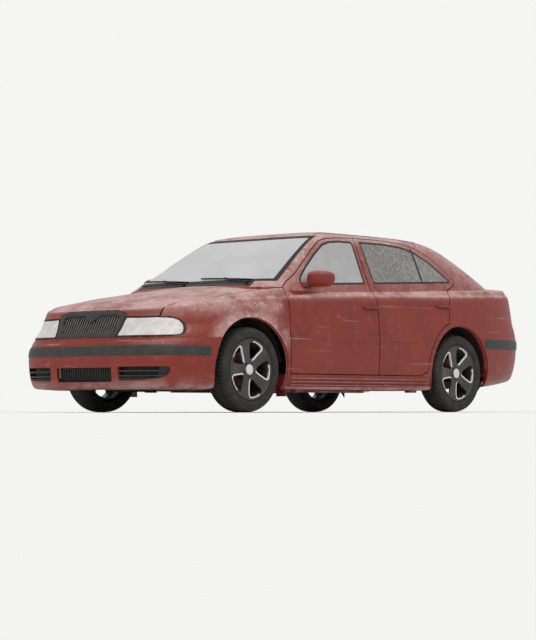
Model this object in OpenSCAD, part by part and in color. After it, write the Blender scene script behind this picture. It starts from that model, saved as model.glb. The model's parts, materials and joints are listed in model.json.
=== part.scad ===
// Five-door liftback saloon standing on its wheels, with opening doors, bonnet and tailgate.
// X forward, Y to the left of the driver, Z up, millimetres, ground at z = 0.

/* [Body] */
// distance between the axles
wheelbase = 2512; // [2000:10:3100]
// front axle to nose
front_overhang = 905; // [700:5:1100]
// rear axle to tail
rear_overhang = 1099; // [800:5:1300]
// width over the widest part of the sides
body_w = 1730; // [1500:5:2100]
// height of the roof
body_h = 1431; // [1250:5:1750]
// height of the belt line
belt_h = 950; // [850:5:1150]
// height of the underside
ground_clear = 165; // [120:5:260]
// thickness of a single outer skin
skin_t = 8; // [5:1:14]
// depth of a door or side wall
wall_t = 62; // [40:1:90]
// depth of the roof panel
roof_t = 24; // [12:1:40]
// depth of the bonnet and tailgate
lid_t = 26; // [12:1:40]
// depth of a bumper moulding
bumper_t = 24; // [12:1:40]
// thickness of the window glass
glass_t = 5; // [3:0.5:8]
// gap round each door and lid
shut_gap = 7.5; // [5:0.5:10]

/* [Wheels] */
// outer diameter of a tyre
tyre_d = 632; // [540:2:760]
// width of a tyre
tyre_w = 195; // [155:5:255]
// diameter of the wheel rim at the bead
rim_d = 436; // [330:2:510]
// wheel centre to wheel centre, front
track_f = 1490; // [1300:5:1700]
// wheel centre to wheel centre, rear
track_r = 1480; // [1300:5:1700]
// room between tyre and wheel arch
arch_room = 69; // [45:1:110]
// radius of a wheel spindle
spindle_r = 26; // [18:1:34]
// running clearance round a spindle
run_gap = 0.5; // [0.3:0.1:2]
// number of wheel spokes
spokes = 5; // [4:1:9]
// radius of the circle of wheel bolts
bolt_circle_r = 50; // [48:0.5:60]
// radius of a wheel bolt hole
bolt_hole_r = 7; // [5:0.5:9]

/* [Cabin] */
// width of a front seat
seat_w = 500; // [420:5:560]
// thickness of a seat cushion
seat_t = 120; // [90:5:160]
// width of the rear bench
bench_w = 1180; // [1000:10:1300]
// steering wheel diameter
steering_d = 376; // [340:2:420]
// steering wheel rim radius
steering_rim_r = 15; // [12:1:20]
// thickness of the floor
floor_t = 16; // [8:1:24]
// engine length, width and height
engine_size = [430, 620, 470];
// fuel tank length, width and height
tank_size = [360, 760, 150];
// exhaust pipe radius
pipe_r = 24; // [18:1:32]

// one piece to show, or all of them

/* [Hidden] */

body_l = front_overhang + wheelbase + rear_overhang;
nose_x = body_l / 2;
fa_x = nose_x - front_overhang;
ra_x = fa_x - wheelbase;
tyre_r = tyre_d / 2;
arch_r = tyre_r + arch_room;
ky = body_w / 1730;

// piecewise straight map from the drawn shape to the chosen sizes
function seg(a, b, x, i = 0) = i >= len(a) - 2 || x < a[i + 1]
    ? b[i] + (x - a[i]) * (b[i + 1] - b[i]) / (a[i + 1] - a[i]) : seg(a, b, x, i + 1);
function px(x) = seg([-2258, -1159, 1353, 2258], [-nose_x, ra_x, fa_x, nose_x], x);
function py(y) = y * ky;
function pz(z) = seg([0, 165, 950, 1431], [0, ground_clear, belt_h, body_h], z);
function xz(list) = [for (p = list) [px(p[0]), pz(p[1])]];
function xy(list) = [for (p = list) [px(p[0]), py(p[1])]];
function yz(list) = [for (p = list) [py(p[0]), pz(p[1])]];

// smooth curve through a list of heights
function slope(a, b, i) = let (n = len(a) - 1) i <= 0 ? (b[1] - b[0]) / (a[1] - a[0])
    : i >= n ? (b[n] - b[n - 1]) / (a[n] - a[n - 1])
    : let (p = (b[i] - b[i - 1]) / (a[i] - a[i - 1]), q = (b[i + 1] - b[i]) / (a[i + 1] - a[i]))
        p * q > 0 ? 2 * p * q / (p + q) : 0;
function find(a, x, i = 0) = i >= len(a) - 2 || x < a[i + 1] ? i : find(a, x, i + 1);
function curve(a, b, x) = let (c = min(max(x, a[0]), a[len(a) - 1]), i = find(a, c),
    h = a[i + 1] - a[i], u = (c - a[i]) / h)
    (2 * u * u * u - 3 * u * u + 1) * b[i] + (u * u * u - 2 * u * u + u) * h * slope(a, b, i)
    + (3 * u * u - 2 * u * u * u) * b[i + 1] + (u * u * u - u * u) * h * slope(a, b, i + 1);
function ease(x) = let (u = min(max(x, 0), 1)) u * u * (3 - 2 * u);
function column(rows, j) = [for (r = rows) r[j]];
function count(rows) = [for (i = [0:len(rows) - 1]) i];

// rings from the underside up: half width, front, back, front and back squareness,
// then height at the tail, rear axle, middle, front axle and nose
rings = [
    [740, 2110, 2100, 6, 6, 270, 180, 165, 165, 168],
    [820, 2218, 2195, 6.5, 6, 288, 192, 175, 176, 180],
    [850, 2250, 2230, 6.5, 6, 360, 280, 270, 262, 262],
    [862, 2258, 2255, 6.5, 6, 480, 410, 400, 390, 380],
    [865, 2258, 2258, 6, 6, 580, 560, 530, 500, 460],
    [861, 2243, 2240, 5.4, 6, 670, 680, 650, 600, 535],
    [853, 2203, 2210, 5, 6, 760, 790, 760, 700, 605],
    [842, 2170, 2195, 5, 6, 870, 880, 850, 780, 680],
    [815, 2148, 2185, 5, 6, 980, 945, 910, 835, 735],
    [765, 2122, 2170, 5, 6, 980, 945, 910, 835, 735],
    [700, 2085, 2135, 5, 6, 980, 945, 910, 835, 735],
    [500, 1985, 2055, 5, 6, 980, 945, 910, 835, 735],
    [250, 1880, 1950, 5, 6, 980, 945, 910, 835, 735],
    [60, 1800, 1900, 2, 2, 980, 945, 910, 835, 735]];
ring_x = [-2258, -1159, 0, 1353, 2258];
top_x = [-2200, -2165, -2100, -1950, -1600, -1159, -500, 0, 500, 950, 1100, 1353, 1600, 1800,
    1980, 2080, 2120, 2200];
top_z = [1035, 1048, 1060, 1068, 1062, 1045, 1015, 1000, 992, 985, 965, 925, 888, 858, 822,
    793, 775, 735];
crown = 55;
// cabin rings: height, half width, front, back, front and back squareness
cabin = [[830, 830, 1320, 2040, 8, 6], [950, 774, 1135, 2010, 8, 6], [1020, 744, 1015, 1960, 8, 6],
    [1100, 710, 875, 1840, 8, 6], [1180, 678, 735, 1690, 8, 6], [1260, 645, 590, 1530, 8, 6],
    [1330, 613, 458, 1365, 8, 6], [1375, 578, 360, 1215, 7, 6], [1402, 525, 270, 1060, 6, 5],
    [1419, 425, 165, 880, 4, 4], [1428, 250, 50, 640, 3, 3], [1431, 60, -50, 400, 2, 2]];

function side_s(fine) = fine ? [0, .22, .44, .62, .76, .87, .95, 1.01, 1.07, 1.14, 1.23,
    1.35, 1.5, 1.72, 2, 2.28, 2.5, 2.65, 2.77, 2.86, 2.93, 2.99, 3.06, 3.15, 3.28, 3.46, 3.7, 4]
    : [0, .3, .6, .8, .92, 1, 1.07, 1.16, 1.3, 1.5, 1.75, 2, 2.25, 2.5, 2.7, 2.84, 2.93, 3,
    3.08, 3.2, 3.4, 3.7, 4];
function ring_v(fine) = fine ? [0, .5, 1, 1.5, 2, 3, 4, 4.7, 5.4, 6, 6.7, 7.4, 8, 8.35, 8.7,
    9.1, 10, 11, 12, 13] : [0, 1, 2, 3, 4, 5, 6, 7, 8, 8.5, 9, 10, 11, 12, 13];

// unit point of a squared ellipse
function ex(s) = s <= 1 ? 1 : s < 3 ? 2 - s : -1;
function ey(s) = s <= 1 ? s : s < 3 ? 1 : 4 - s;
function squared(s, nf, nr) = let (n = ex(s) >= 0 ? nf : nr,
    d = pow(pow(abs(ex(s)), n) + pow(abs(ey(s)), n), 1 / n)) [ex(s) / d, ey(s) / d];

function lower_row(v, t) = let (k = count(rings), c = [for (j = [0:9]) curve(k, column(rings, j), v)],
    b = c[0] - min(t, c[0] * .3)) [b, c[1] - t, c[2] - t, c[3], c[4],
    [c[5], c[6], c[7], c[8], c[9]], ease(v - 8), v < .25 && t > 0 ? 90 : t * ease((v - 6.5) / 2.5)];
function lower_pt(s, r, t) = let (e = squared(s, r[3], r[4]),
    x = e[0] >= 0 ? r[1] * e[0] : r[2] * e[0], y = r[0] * e[1],
    zs = curve(ring_x, r[5], x),
    zt = r[6] > 0 ? curve(top_x, top_z, x) - crown * pow(y / 765, 2) : 0,
    z = zs * (1 - r[6]) + zt * r[6] - r[7]) [px(x), py(y), pz(z)];
function cabin_pt(s, r, t) = let (e = squared(s, r[4], r[5]),
    b = r[1] - min(t, r[1] * .3), x = e[0] >= 0 ? (r[2] - 2 * t) * e[0] : (r[3] - 2.2 * t) * e[0])
    [px(x), py(b * e[1]), pz(r[0] - t * ease((r[0] - 1300) / 90) - (r[0] < 900 ? t * 2 : 0))];

// closed solid from half rings, each mirrored to the other side
module loft(half) {
    rows = len(half);
    m = len(half[0]) - 1;
    n = 2 * m;
    pts = [for (row = half) each concat(row, [for (j = [m - 1:-1:1]) [row[j][0], -row[j][1], row[j][2]]])];
    walls = [for (i = [0:rows - 2]) for (j = [0:n - 1]) let (k = (j + 1) % n)
        each [[i * n + j, (i + 1) * n + j, (i + 1) * n + k], [i * n + j, (i + 1) * n + k, i * n + k]]];
    function other(i, j) = i * n + (n - j) % n;
    ends = [for (q = [[0, 0], [rows - 1, 1]]) for (j = [0:m - 1])
        let (i = q[0], a = i * n + j, b = i * n + j + 1, c = other(i, j + 1), d = other(i, j),
            flip = q[1] == 1)
        each concat(b == c ? [] : [flip ? [a, c, b] : [a, b, c]],
            a == d ? [] : [flip ? [a, d, c] : [a, c, d]])];
    polyhedron(pts, concat(walls, ends), convexity = 8);
}

module lower_solid(t, fine) {
    loft([for (v = ring_v(fine)) let (r = lower_row(v, t)) [for (s = side_s(fine)) lower_pt(s, r, t)]]);
}
module cabin_solid(t, fine) {
    loft([for (r = cabin) [for (s = side_s(fine)) cabin_pt(s, r, t)]]);
}
module body_solid(t, fine = true) {
    union() {
        lower_solid(t, fine);
        cabin_solid(t, fine);
    }
}
module shell(t0, t1, fine = true, inner_fine = true) {
    difference() {
        body_solid(t0, fine);
        body_solid(t1, fine && inner_fine);
    }
}
// one mesh in and out
module mesh() { resize([0, 0, 0]) children(); }
module both() { children(); mirror([0, 1, 0]) children(); }

// straight prisms through an outline
module along_y(y0 = 250, y1 = 1200) {
    translate([0, y1, 0]) rotate([90, 0, 0]) linear_extrude(y1 - y0) children();
}
module along_x(x0, x1) {
    translate([x0, 0, 0]) rotate([90, 0, 90]) linear_extrude(x1 - x0) children();
}
module along_z(z0, z1) { translate([0, 0, z0]) linear_extrude(z1 - z0) children(); }
module box(x0, x1, y0, y1, z0, z1) { translate([x0, y0, z0]) cube([x1 - x0, y1 - y0, z1 - z0]); }
module bar(a, b, r) {
    d = b - a;
    translate(a) rotate([0, acos(d[2] / norm(d)), atan2(d[1], d[0])]) cylinder(r = r, h = norm(d), $fn = 32);
}

// outlines seen from the side
module front_door_2d() {
    polygon(xz([[936, 293.4], [944, 600], [936, 850], [914, 948], [850, 990], [738, 1050],
        [470, 1240], [335, 1326], [240, 1350], [100, 1363], [-96, 1370], [-96, 293.4]]));
}
module rear_door_2d() {
    difference() {
        polygon(xz([[-104.5, 293.4], [-104.5, 1370], [-420, 1371], [-700, 1358], [-880, 1322],
            [-1040, 1248], [-1170, 1152], [-1248, 1084], [-1236, 1046], [-1090, 988],
            [-1034, 910], [-1012, 800], [-1000, 700], [-760, 340], [-630, 293.4]]));
        arch_2d(ra_x, 50);
    }
}
module front_window_2d() {
    polygon(xz([[682, 975], [-52, 1008], [-52, 1332], [100, 1328], [226, 1312], [312, 1284],
        [500, 1166], [640, 1064]]));
}
module rear_window_2d() {
    polygon(xz([[-180, 1016], [-166, 1333], [-450, 1334], [-680, 1318], [-830, 1284],
        [-980, 1214], [-1110, 1126], [-1180, 1072], [-1160, 1066]]));
}
module arch_2d(x, more = 0) { translate([x, tyre_r]) circle(r = arch_r + more, $fn = 56); }
module arches(more = 0) {
    for (x = [fa_x, ra_x]) {
        along_y() arch_2d(x, more);
        box(x - arch_r * .98 - more, x + arch_r * .98 + more, 250, 1200, 0, tyre_r * .55);
    }
}
module grow(g) { offset(delta = g) children(); }
// outlines seen from above
module bonnet_2d() {
    polygon(xy([[1112, -692], [1353, -690], [1800, -655], [2100, -600], [2400, -560],
        [2400, 560], [2100, 600], [1800, 655], [1353, 690], [1112, 692]]));
}
module tailgate_2d() {
    polygon(xy([[-1002, -520], [-1400, -575], [-1750, -625], [-2100, -660], [-2400, -660],
        [-2400, 660], [-2100, 660], [-1750, 625], [-1400, 575], [-1002, 520]]));
}
module rear_screen_2d() {
    polygon(xy([[-1090, -462], [-1400, -515], [-1690, -560], [-1690, 560], [-1400, 515], [-1090, 462]]));
}
// outlines seen from the front
module screen_2d() {
    polygon(yz([[-712, 992], [712, 992], [668, 1100], [560, 1368], [-560, 1368], [-668, 1100]]));
}
module grille_2d() {
    polygon(yz([[-312, 545.3], [312, 545.3], [346, 715], [250, 740], [0, 744], [-250, 740], [-346, 715]]));
}
module headlight_2d() {
    polygon(yz([[314, 545.3], [349, 712], [420, 718], [600, 713], [708, 694], [762, 660], [786, 610],
        [776, 572], [740, 550], [700, 545.3]]));
}
module tail_light_2d() {
    polygon(yz([[668, 706], [668, 930], [790, 912], [900, 880], [900, 706]]));
}
module bonnet_zone(g = 0) {
    along_z(pz(748) - g, body_h * 2) grow(g) bonnet_2d();
}
module tailgate_zone(g = 0) {
    along_z(pz(655) + shut_gap + 1 - g, body_h * 2) grow(g) tailgate_2d();
}
module screen_zone(g = 0) {
    along_x(px(240), px(1300)) grow(g) screen_2d();
}
module front_bumper_zone() {
    difference() {
        box(px(1600), nose_x + 100, -1200, 1200, 0, pz(545));
        both() arches(8);
    }
}
module rear_bumper_zone() {
    difference() {
        box(-nose_x - 100, px(-1400), -1200, 1200, 0, pz(655));
        both() arches(8);
    }
}
module sill_zone() {
    difference() {
        box(px(-1000), px(1200), 250, 1200, 0, pz(286));
        arches(8);
    }
}
module headlight_zone(g = 0) { both() along_x(px(1780), nose_x + 50) grow(g) headlight_2d(); }
module tail_light_zone(g = 0) { both() along_x(-nose_x - 50, px(-2030)) grow(g) tail_light_2d(); }
module grille_zone(g = 0) { along_x(px(1980), nose_x + 50) grow(g) grille_2d(); }
module doors_zone(g) {
    both() along_y() {
        grow(g) front_door_2d();
        grow(g) rear_door_2d();
    }
}
module flap_2d() { translate([px(-1640), pz(800)]) square([160, 150], center = true); }

// body panels
floor_w = py(722);
door_axis_y = py(848);
door_axis_f = px(936) - 50;
door_axis_r = px(-104.5) - 50;
module sills() {
    mesh() both() {
        intersection() {
            shell(0, wall_t + shut_gap * 2 + 36, false);
            sill_zone();
            box(-nose_x, nose_x, floor_w + .3, 1200, 0, 900);
        }
        // pivots under the doors
        for (x = [door_axis_f, door_axis_r]) translate([x, door_axis_y - 3, pz(286) - 4])
            cylinder(r = 5, h = pz(293.4) - .3 - pz(286) + 4, $fn = 16);
        for (x = [780, -600]) box(px(x) - 45, px(x) + 45, py(752), py(800), pz(165) - 10, pz(190));
    }
}
module body_sides() {
    mesh() difference() {
        both() intersection() {
            shell(0, 40, true, false);
            box(-nose_x, px(1092), 250, 1200, pz(286), body_h + 50);
        }
        doors_zone(shut_gap);
        box(px(880), px(1300), -1200, 1200, 0, pz(936));
        both() arches(0);
        rear_bumper_zone();
        tail_light_zone(0);
        tailgate_zone(shut_gap);
        screen_zone(0);
        along_z(0, pz(936) + 200) polygon(xy([[960, -690], [1300, -690], [1300, 690], [960, 690]]));
        along_z(pz(1300), body_h + 100) polygon(xy([[700, -520], [-1010, -520], [-1010, 520], [700, 520]]));
        mirror([0, 1, 0]) difference() { along_y() { grow(6) flap_2d(); translate([5, 0]) grow(6) flap_2d(); } body_solid(14, false); }
    }
    // hinge of the fuel flap
    mesh() union() {
        translate([px(-1640) + 80 + 3.2, -py(824), pz(800)]) cylinder(r = 2.9, h = 60, $fn = 12);
        box(px(-1640) + 80.6, px(-1640) + 85.8, -py(824), -py(806), pz(800), pz(860));
    }
}
module roof_panel() {
    mesh() difference() {
        intersection() {
            shell(0, roof_t, true, false);
            along_z(pz(1300), body_h + 100) polygon(xy([[700, -520], [-995, -520], [-995, 520], [700, 520]]));
        }
        screen_zone(0);
    }
    // hinge covers ahead of the tailgate
    both() translate([px(-995) - 3.2, py(380), pz(1385)]) rotate([-90, 0, 0]) cylinder(r = 3.5, h = 60, $fn = 12);
}
module b_pillars() {
    inner = wall_t + shut_gap * 2;
    mesh() both() {
        intersection() {
            shell(inner, inner + 34, false);
            along_y(py(440)) polygon(xz([[-20, 286], [-180, 286], [-165, 960], [-152, 1380], [-46, 1380], [-40, 960]]));
        }
        intersection() {
            shell(roof_t, inner + 34, false);
            box(px(-152), px(-46), py(440), py(520), pz(1374), body_h);
        }
    }
}
module front_fenders() {
    mesh() difference() {
        intersection() {
            shell(0, skin_t);
            box(px(880), nose_x, -1200, 1200, pz(200), pz(1000));
        }
        doors_zone(shut_gap);
        box(px(800), px(1092), -1200, 1200, pz(936), 2000);
        along_z(0, 2000) grow(shut_gap) bonnet_2d();
        along_z(0, 2000) polygon(xy([[800, -690], [1200, -690], [1200, 690], [800, 690]]));
        box(px(2180), nose_x + 9, -py(600), py(600), 0, 2000);
        front_bumper_zone();
        sill_zone();
        mirror([0, 1, 0]) sill_zone();
        headlight_zone(0);
        grille_zone(0);
        both() arches(0);
        screen_zone(0);
    }
}
module front_bumper() {
    mesh() difference() {
        intersection() { shell(0, bumper_t, true, false); front_bumper_zone(); }
        both() along_x(px(1900), nose_x + 50) polygon(yz([[352, 250], [352, 330], [690, 330], [670, 250]]));
        along_x(px(1900), nose_x + 50) polygon(yz([[-285, 222], [-285, 326], [285, 326], [285, 222]]));
    }
}
module rear_bumper() {
    mesh() intersection() { shell(0, bumper_t, true, false); rear_bumper_zone(); }
}
module grille() {
    mesh() difference() {
        intersection() { shell(2, 36, false); grille_zone(0); }
        bonnet_zone(shut_gap);
        for (i = [-8:8]) if (i != 0)
            along_x(px(1980), nose_x + 50) polygon(yz([[i * 34 - 9, 575], [i * 34 - 6, 690],
                [i * 34 + 10, 690], [i * 34 + 7, 575]]));
    }
}
module headlights() {
    mesh() difference() {
        intersection() { shell(1, 70, false); headlight_zone(0); }
        bonnet_zone(shut_gap);
    }
}
module tail_lights() {
    mesh() intersection() { shell(1, 60, false); tail_light_zone(0); }
}
module windscreen() {
    mesh() intersection() { shell(2, 2 + glass_t, false); screen_zone(0); }
}
module cowl() {
    mesh() difference() {
        intersection() {
            shell(0, 20, false);
            along_z(pz(850), body_h) polygon(xy([[960, -690], [1104.5, -690], [1104.5, 690], [960, 690]]));
        }
        screen_zone(0);
    }
    // hinge covers behind the bonnet
    both() translate([px(1104.5) + 3.5, py(380), pz(943)]) rotate([-90, 0, 0]) cylinder(r = 3.8, h = 40, $fn = 12);
}
module bonnet() {
    mesh() difference() {
        intersection() { shell(0, lid_t, true, false); bonnet_zone(0); }
    }
}
module tailgate() {
    mesh() difference() {
        intersection() { shell(0, lid_t, true, false); tailgate_zone(0); }
        along_z(pz(1080), 2000) rear_screen_2d();
    }
}
module rear_screen() {
    mesh() intersection() {
        shell(2, 2 + glass_t, false);
        along_z(pz(1080), 2000) rear_screen_2d();
    }
}
module mirror_head() {
    hull() {
        translate([px(612), py(846), pz(1012)]) scale([.5, 1, 1]) sphere(r = 50, $fn = 16);
        translate([px(600), py(930), pz(1010)]) scale([.6, 1, 1]) sphere(r = 58, $fn = 16);
        translate([px(640), py(890), pz(1012)]) scale([.8, 1, 1]) sphere(r = 46, $fn = 16);
    }
    hull() {
        translate([px(660), py(768), pz(968)]) cube([120, 16, 34], center = true);
        translate([px(622), py(862), pz(972)]) sphere(r = 22, $fn = 12);
    }
}
module below(z) { translate([-3000, z - 3000]) square([6000, 3000]); }
module above(z) { translate([-3000, z]) square([6000, 3000]); }
// skin over the whole outline, a deep box inside the shut line, a window frame above
module door(front) {
    module outline_2d() { if (front) front_door_2d(); else rear_door_2d(); }
    module window_2d() { if (front) front_window_2d(); else rear_window_2d(); }
    x = px(front ? -96 : -104.5);
    difference() {
        intersection() { body_solid(0); along_y() outline_2d(); }
        difference() {
            body_solid(skin_t);
            difference() {
                along_y() intersection() { grow(-shut_gap * 4.4) outline_2d(); below(pz(955)); }
                body_solid(wall_t, false);
            }
            difference() {
                along_y() difference() {
                    intersection() { grow(-12) outline_2d(); above(pz(930)); }
                    translate([front ? x - 20 : x - 34, 0]) square([54, 3000]);
                }
                body_solid(wall_t * .46, false);
            }
        }
        along_y() window_2d();
    }
    intersection() {
        shell(skin_t * .5, skin_t * .5 + glass_t, false);
        along_y() grow(-.5) window_2d();
    }
}
module front_door() {
    mesh() union() {
        door(true);
        mirror_head();
    }
}
module rear_door() { mesh() door(false); }
module fuel_flap() {
    mesh() mirror([0, 1, 0]) intersection() { shell(0, 5, false); along_y() flap_2d(); }
}

// structure and underside
floor_z = pz(176);
module floor_pan() {
    // stepped floor: toe board, flat, kick-up and load floor
    prof = xz([[1060, 430], [950, 176], [-470, 176], [-560, 330], [-900, 388], [-2100, 400]]);
    difference() {
        rotate([90, 0, 0]) linear_extrude(py(1500), center = true) difference() {
            polygon(concat(prof, [for (i = [len(prof) - 1:-1:0]) prof[i] + [floor_t * .4, floor_t]]));
            square(1);
        }
        for (s = [-1, 1]) translate([px(-2300), s > 0 ? py(606) : -py(606) - 400, 0])
            cube([px(-730) - px(-2300), 400, 900]);
        for (s = [-1, 1]) translate([px(-780), s > 0 ? floor_w : -floor_w - 200, 0])
            cube([px(1200) - px(-780), 200, 900]);
        for (s = [-1, 1]) translate([px(900), s > 0 ? py(440) : -py(440) - 500, 0]) cube([400, 500, 900]);
        box(px(-600), px(1200), -py(120), py(120), 0, 900);
        translate([px(-1690), 0, 0]) cylinder(r = 310, h = 900, $fn = 64);
    }
    // tunnel over the exhaust
    difference() {
        rotate([90, 0, 90]) translate([0, 0, px(-572)]) linear_extrude(px(1040) - px(-572))
            polygon(yz([[-136, 176], [-100, 350], [-60, 368], [60, 368], [100, 350], [136, 176]]));
        rotate([90, 0, 90]) translate([0, 0, px(-700)]) linear_extrude(px(1100) - px(-700))
            polygon(yz([[-120, 170], [-86, 338], [-52, 354], [52, 354], [86, 338], [120, 170]]));
    }
    // spare wheel well
    difference() {
        translate([px(-1690), 0, pz(262)]) cylinder(r = 312, h = pz(400) - pz(262), $fn = 64);
        translate([px(-1690), 0, pz(262) + 4]) cylinder(r = 304, h = 300, $fn = 64);
    }
    // boot sides down to the bumper and rear panel
    for (s = [-1, 1]) box(px(-2090), px(-1560), s > 0 ? py(600) : -py(608), s > 0 ? py(608) : -py(600), pz(300), pz(640));
    box(px(-2110), px(-2092), -py(600), py(600), pz(330), pz(640));
    // ribs under the floor
    for (s = [-1, 1]) box(px(-420), px(900), s > 0 ? py(380) : -py(440), s > 0 ? py(440) : -py(380), pz(176) - 22, pz(176));
}
module undertray() {
    difference() {
        box(px(1042), px(2050), -py(336), py(336), pz(172), pz(180));
        for (x = [1420:90:1900]) box(px(x), px(x) + 34, -py(300), -py(60), 0, 900);
        for (x = [1420:90:1900]) box(px(x), px(x) + 34, py(60), py(300), 0, 900);
        box(px(1180), px(1360), -py(120), py(120), 0, 900);
    }
    // posts up to the crossmember
    both() box(px(1374), px(1404), py(180), py(240), pz(180) - 1, pz(205) - .3);
}
module firewall() {
    box(px(1064), px(1082), -py(439.7), py(439.7), pz(446), pz(730));
    box(px(1064), px(1082), -py(690), py(690), pz(730), pz(892));
}
module inner_wings() {
    // inner panels and rails beside the engine, with the spring towers
    both() {
        box(px(1082) + .3, px(1960) - .3, py(440), py(452), pz(300), pz(735));
        box(px(1082) + .3, px(1960) - .3, py(380), py(440), pz(300), pz(420));
        difference() {
            translate([strut_top[0], strut_top[1], pz(640)]) cylinder(r = 114, h = strut_top[2] + top_ball + 6.4 - pz(640), $fn = 48);
            translate([strut_top[0], strut_top[1], pz(640) - 1]) cylinder(r = 106, h = strut_top[2] + top_ball + 1.4 - pz(640), $fn = 48);
        }
    }
    // arch liners
    both() for (x = [fa_x, ra_x]) front_liner(x);
}
module front_liner(x) {
    y0 = x > 0 ? py(452) : py(612);
    difference() {
        translate([x, y0, tyre_r]) rotate([-90, 0, 0]) cylinder(r = arch_r + 12, h = py(x > 0 ? 780 : 805) - y0, $fn = 72);
        translate([x, y0 - 1, tyre_r]) rotate([-90, 0, 0]) cylinder(r = arch_r + 8, h = 800, $fn = 72);
        box(x - 900, x + 900, 0, 1200, -500, tyre_r + (x > 0 ? 60 : 0));
        if (x > 0) translate([strut_top[0], strut_top[1], pz(600)]) cylinder(r = 110, h = 400, $fn = 48);
    }
    if (x < 0) difference() {
        translate([x, y0, tyre_r]) rotate([-90, 0, 0]) cylinder(r = arch_r + 10, h = 6, $fn = 72);
        box(x - 900, x + 900, 0, 1200, -500, tyre_r + 60);
    }
}
module radiator() {
    box(px(1985), px(2030), -py(350), py(350), pz(239), pz(701));
    box(px(1960), px(2002), -py(455), py(455), pz(700), pz(724));
    box(px(1960), px(2040), -py(460), py(460), pz(200), pz(240));
    for (s = [-1, 1]) box(px(1960), px(2040), s > 0 ? py(400) : -py(460), s > 0 ? py(460) : -py(400), pz(236), pz(700));
}
ball = [fa_x, track_f / 2 - 82, tyre_r - 112];
strut_top = [fa_x - 20, py(560), pz(800)];
low_ball = 16;
top_ball = 20;
arm_top = ball[2] - low_ball - .4;
module subframe() {
    difference() {
        box(fa_x - 190, fa_x + 90, -py(380), py(380), pz(205), pz(265));
        translate([fa_x - 50, 0, 0]) box(-80, 80, -py(270), py(270), 0, 900);
    }
    both() {
        // wishbone
        difference() {
            translate([0, 0, arm_top - 24]) linear_extrude(24) polygon([[fa_x - 230, py(372)],
                [fa_x - 170, py(372)], [fa_x - 60, ball[1] - 120], [fa_x + 10, py(372)],
                [fa_x + 70, py(372)], [fa_x + 34, ball[1] - 20], [fa_x, ball[1] + 26], [fa_x - 34, ball[1] - 20]]);
        }
        translate([ball[0], ball[1], arm_top - 30]) cylinder(r = 28, h = 30, $fn = 32);
        box(fa_x - 190, fa_x + 90, py(340), py(400), arm_top - 30, pz(265));
        box(fa_x - 90, fa_x + 60, py(381), py(430), pz(230), pz(299.7));
        box(fa_x - 90, fa_x + 60, py(381), py(399), pz(200), pz(299.7));
    }
}
// coil spring kept as one closed bellows
module coil(r, wire, h, turns) {
    step = h / turns;
    rotate_extrude($fn = 48) polygon(concat([[r - 3 * wire, 0]], [for (i = [0:turns - 1]) each
        [[r - wire, i * step], [r + wire, (i + .5) * step]]], [[r - wire, h], [r - 3 * wire, h]]));
}
module strut_parts() {
    base = [fa_x, track_f / 2 - 145, tyre_r + 60];
    d = strut_top - base;
    bar(base, strut_top, 24);
    translate(strut_top) sphere(r = top_ball, $fn = 40);
    translate(base) rotate([0, acos(d[2] / norm(d)), atan2(d[1], d[0])]) {
        translate([0, 0, norm(d) * .38]) cylinder(r = 64, h = 8, $fn = 48);
        translate([0, 0, norm(d) * .38 + 8]) coil(46, 9, norm(d) * .56, 6);
        translate([0, 0, norm(d) * .38]) cylinder(r = 26, h = norm(d) * .6, $fn = 48);
    }
}
module knuckle() {
    yc = track_f / 2;
    // spindle, upright, lower boss, caliper and strut
    translate([fa_x, yc - 110, tyre_r]) rotate([-90, 0, 0]) cylinder(r = spindle_r, h = 150, $fn = 48);
    translate([fa_x, yc - 125, tyre_r]) rotate([-90, 0, 0]) cylinder(r = 62, h = 50, $fn = 48);
    box(fa_x - 26, fa_x + 26, yc - 122, yc - 78, ball[2] + 24, tyre_r + 120);
    box(fa_x - 20, fa_x + 20, yc - 110, yc - 66, ball[2] + 24, ball[2] + 50);
    translate(ball) sphere(r = low_ball, $fn = 32);
    translate(ball) cylinder(r = low_ball * .8, h = 40, $fn = 32);
    box(fa_x - 22, fa_x + 22, yc - 160, yc - 90, tyre_r + 66, tyre_r + 120);
    box(fa_x - 150, fa_x - 90, yc - 112, yc - 68, tyre_r - 50, tyre_r + 50);
    box(fa_x - 110, fa_x - 20, yc - 112, yc - 78, tyre_r - 22, tyre_r + 22);
    strut_parts();
}
module wheel(x, yc) {
    translate([x, yc, tyre_r]) rotate([-90, 0, 0]) wheel_body();
}
rim_r = rim_d / 2;
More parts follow.
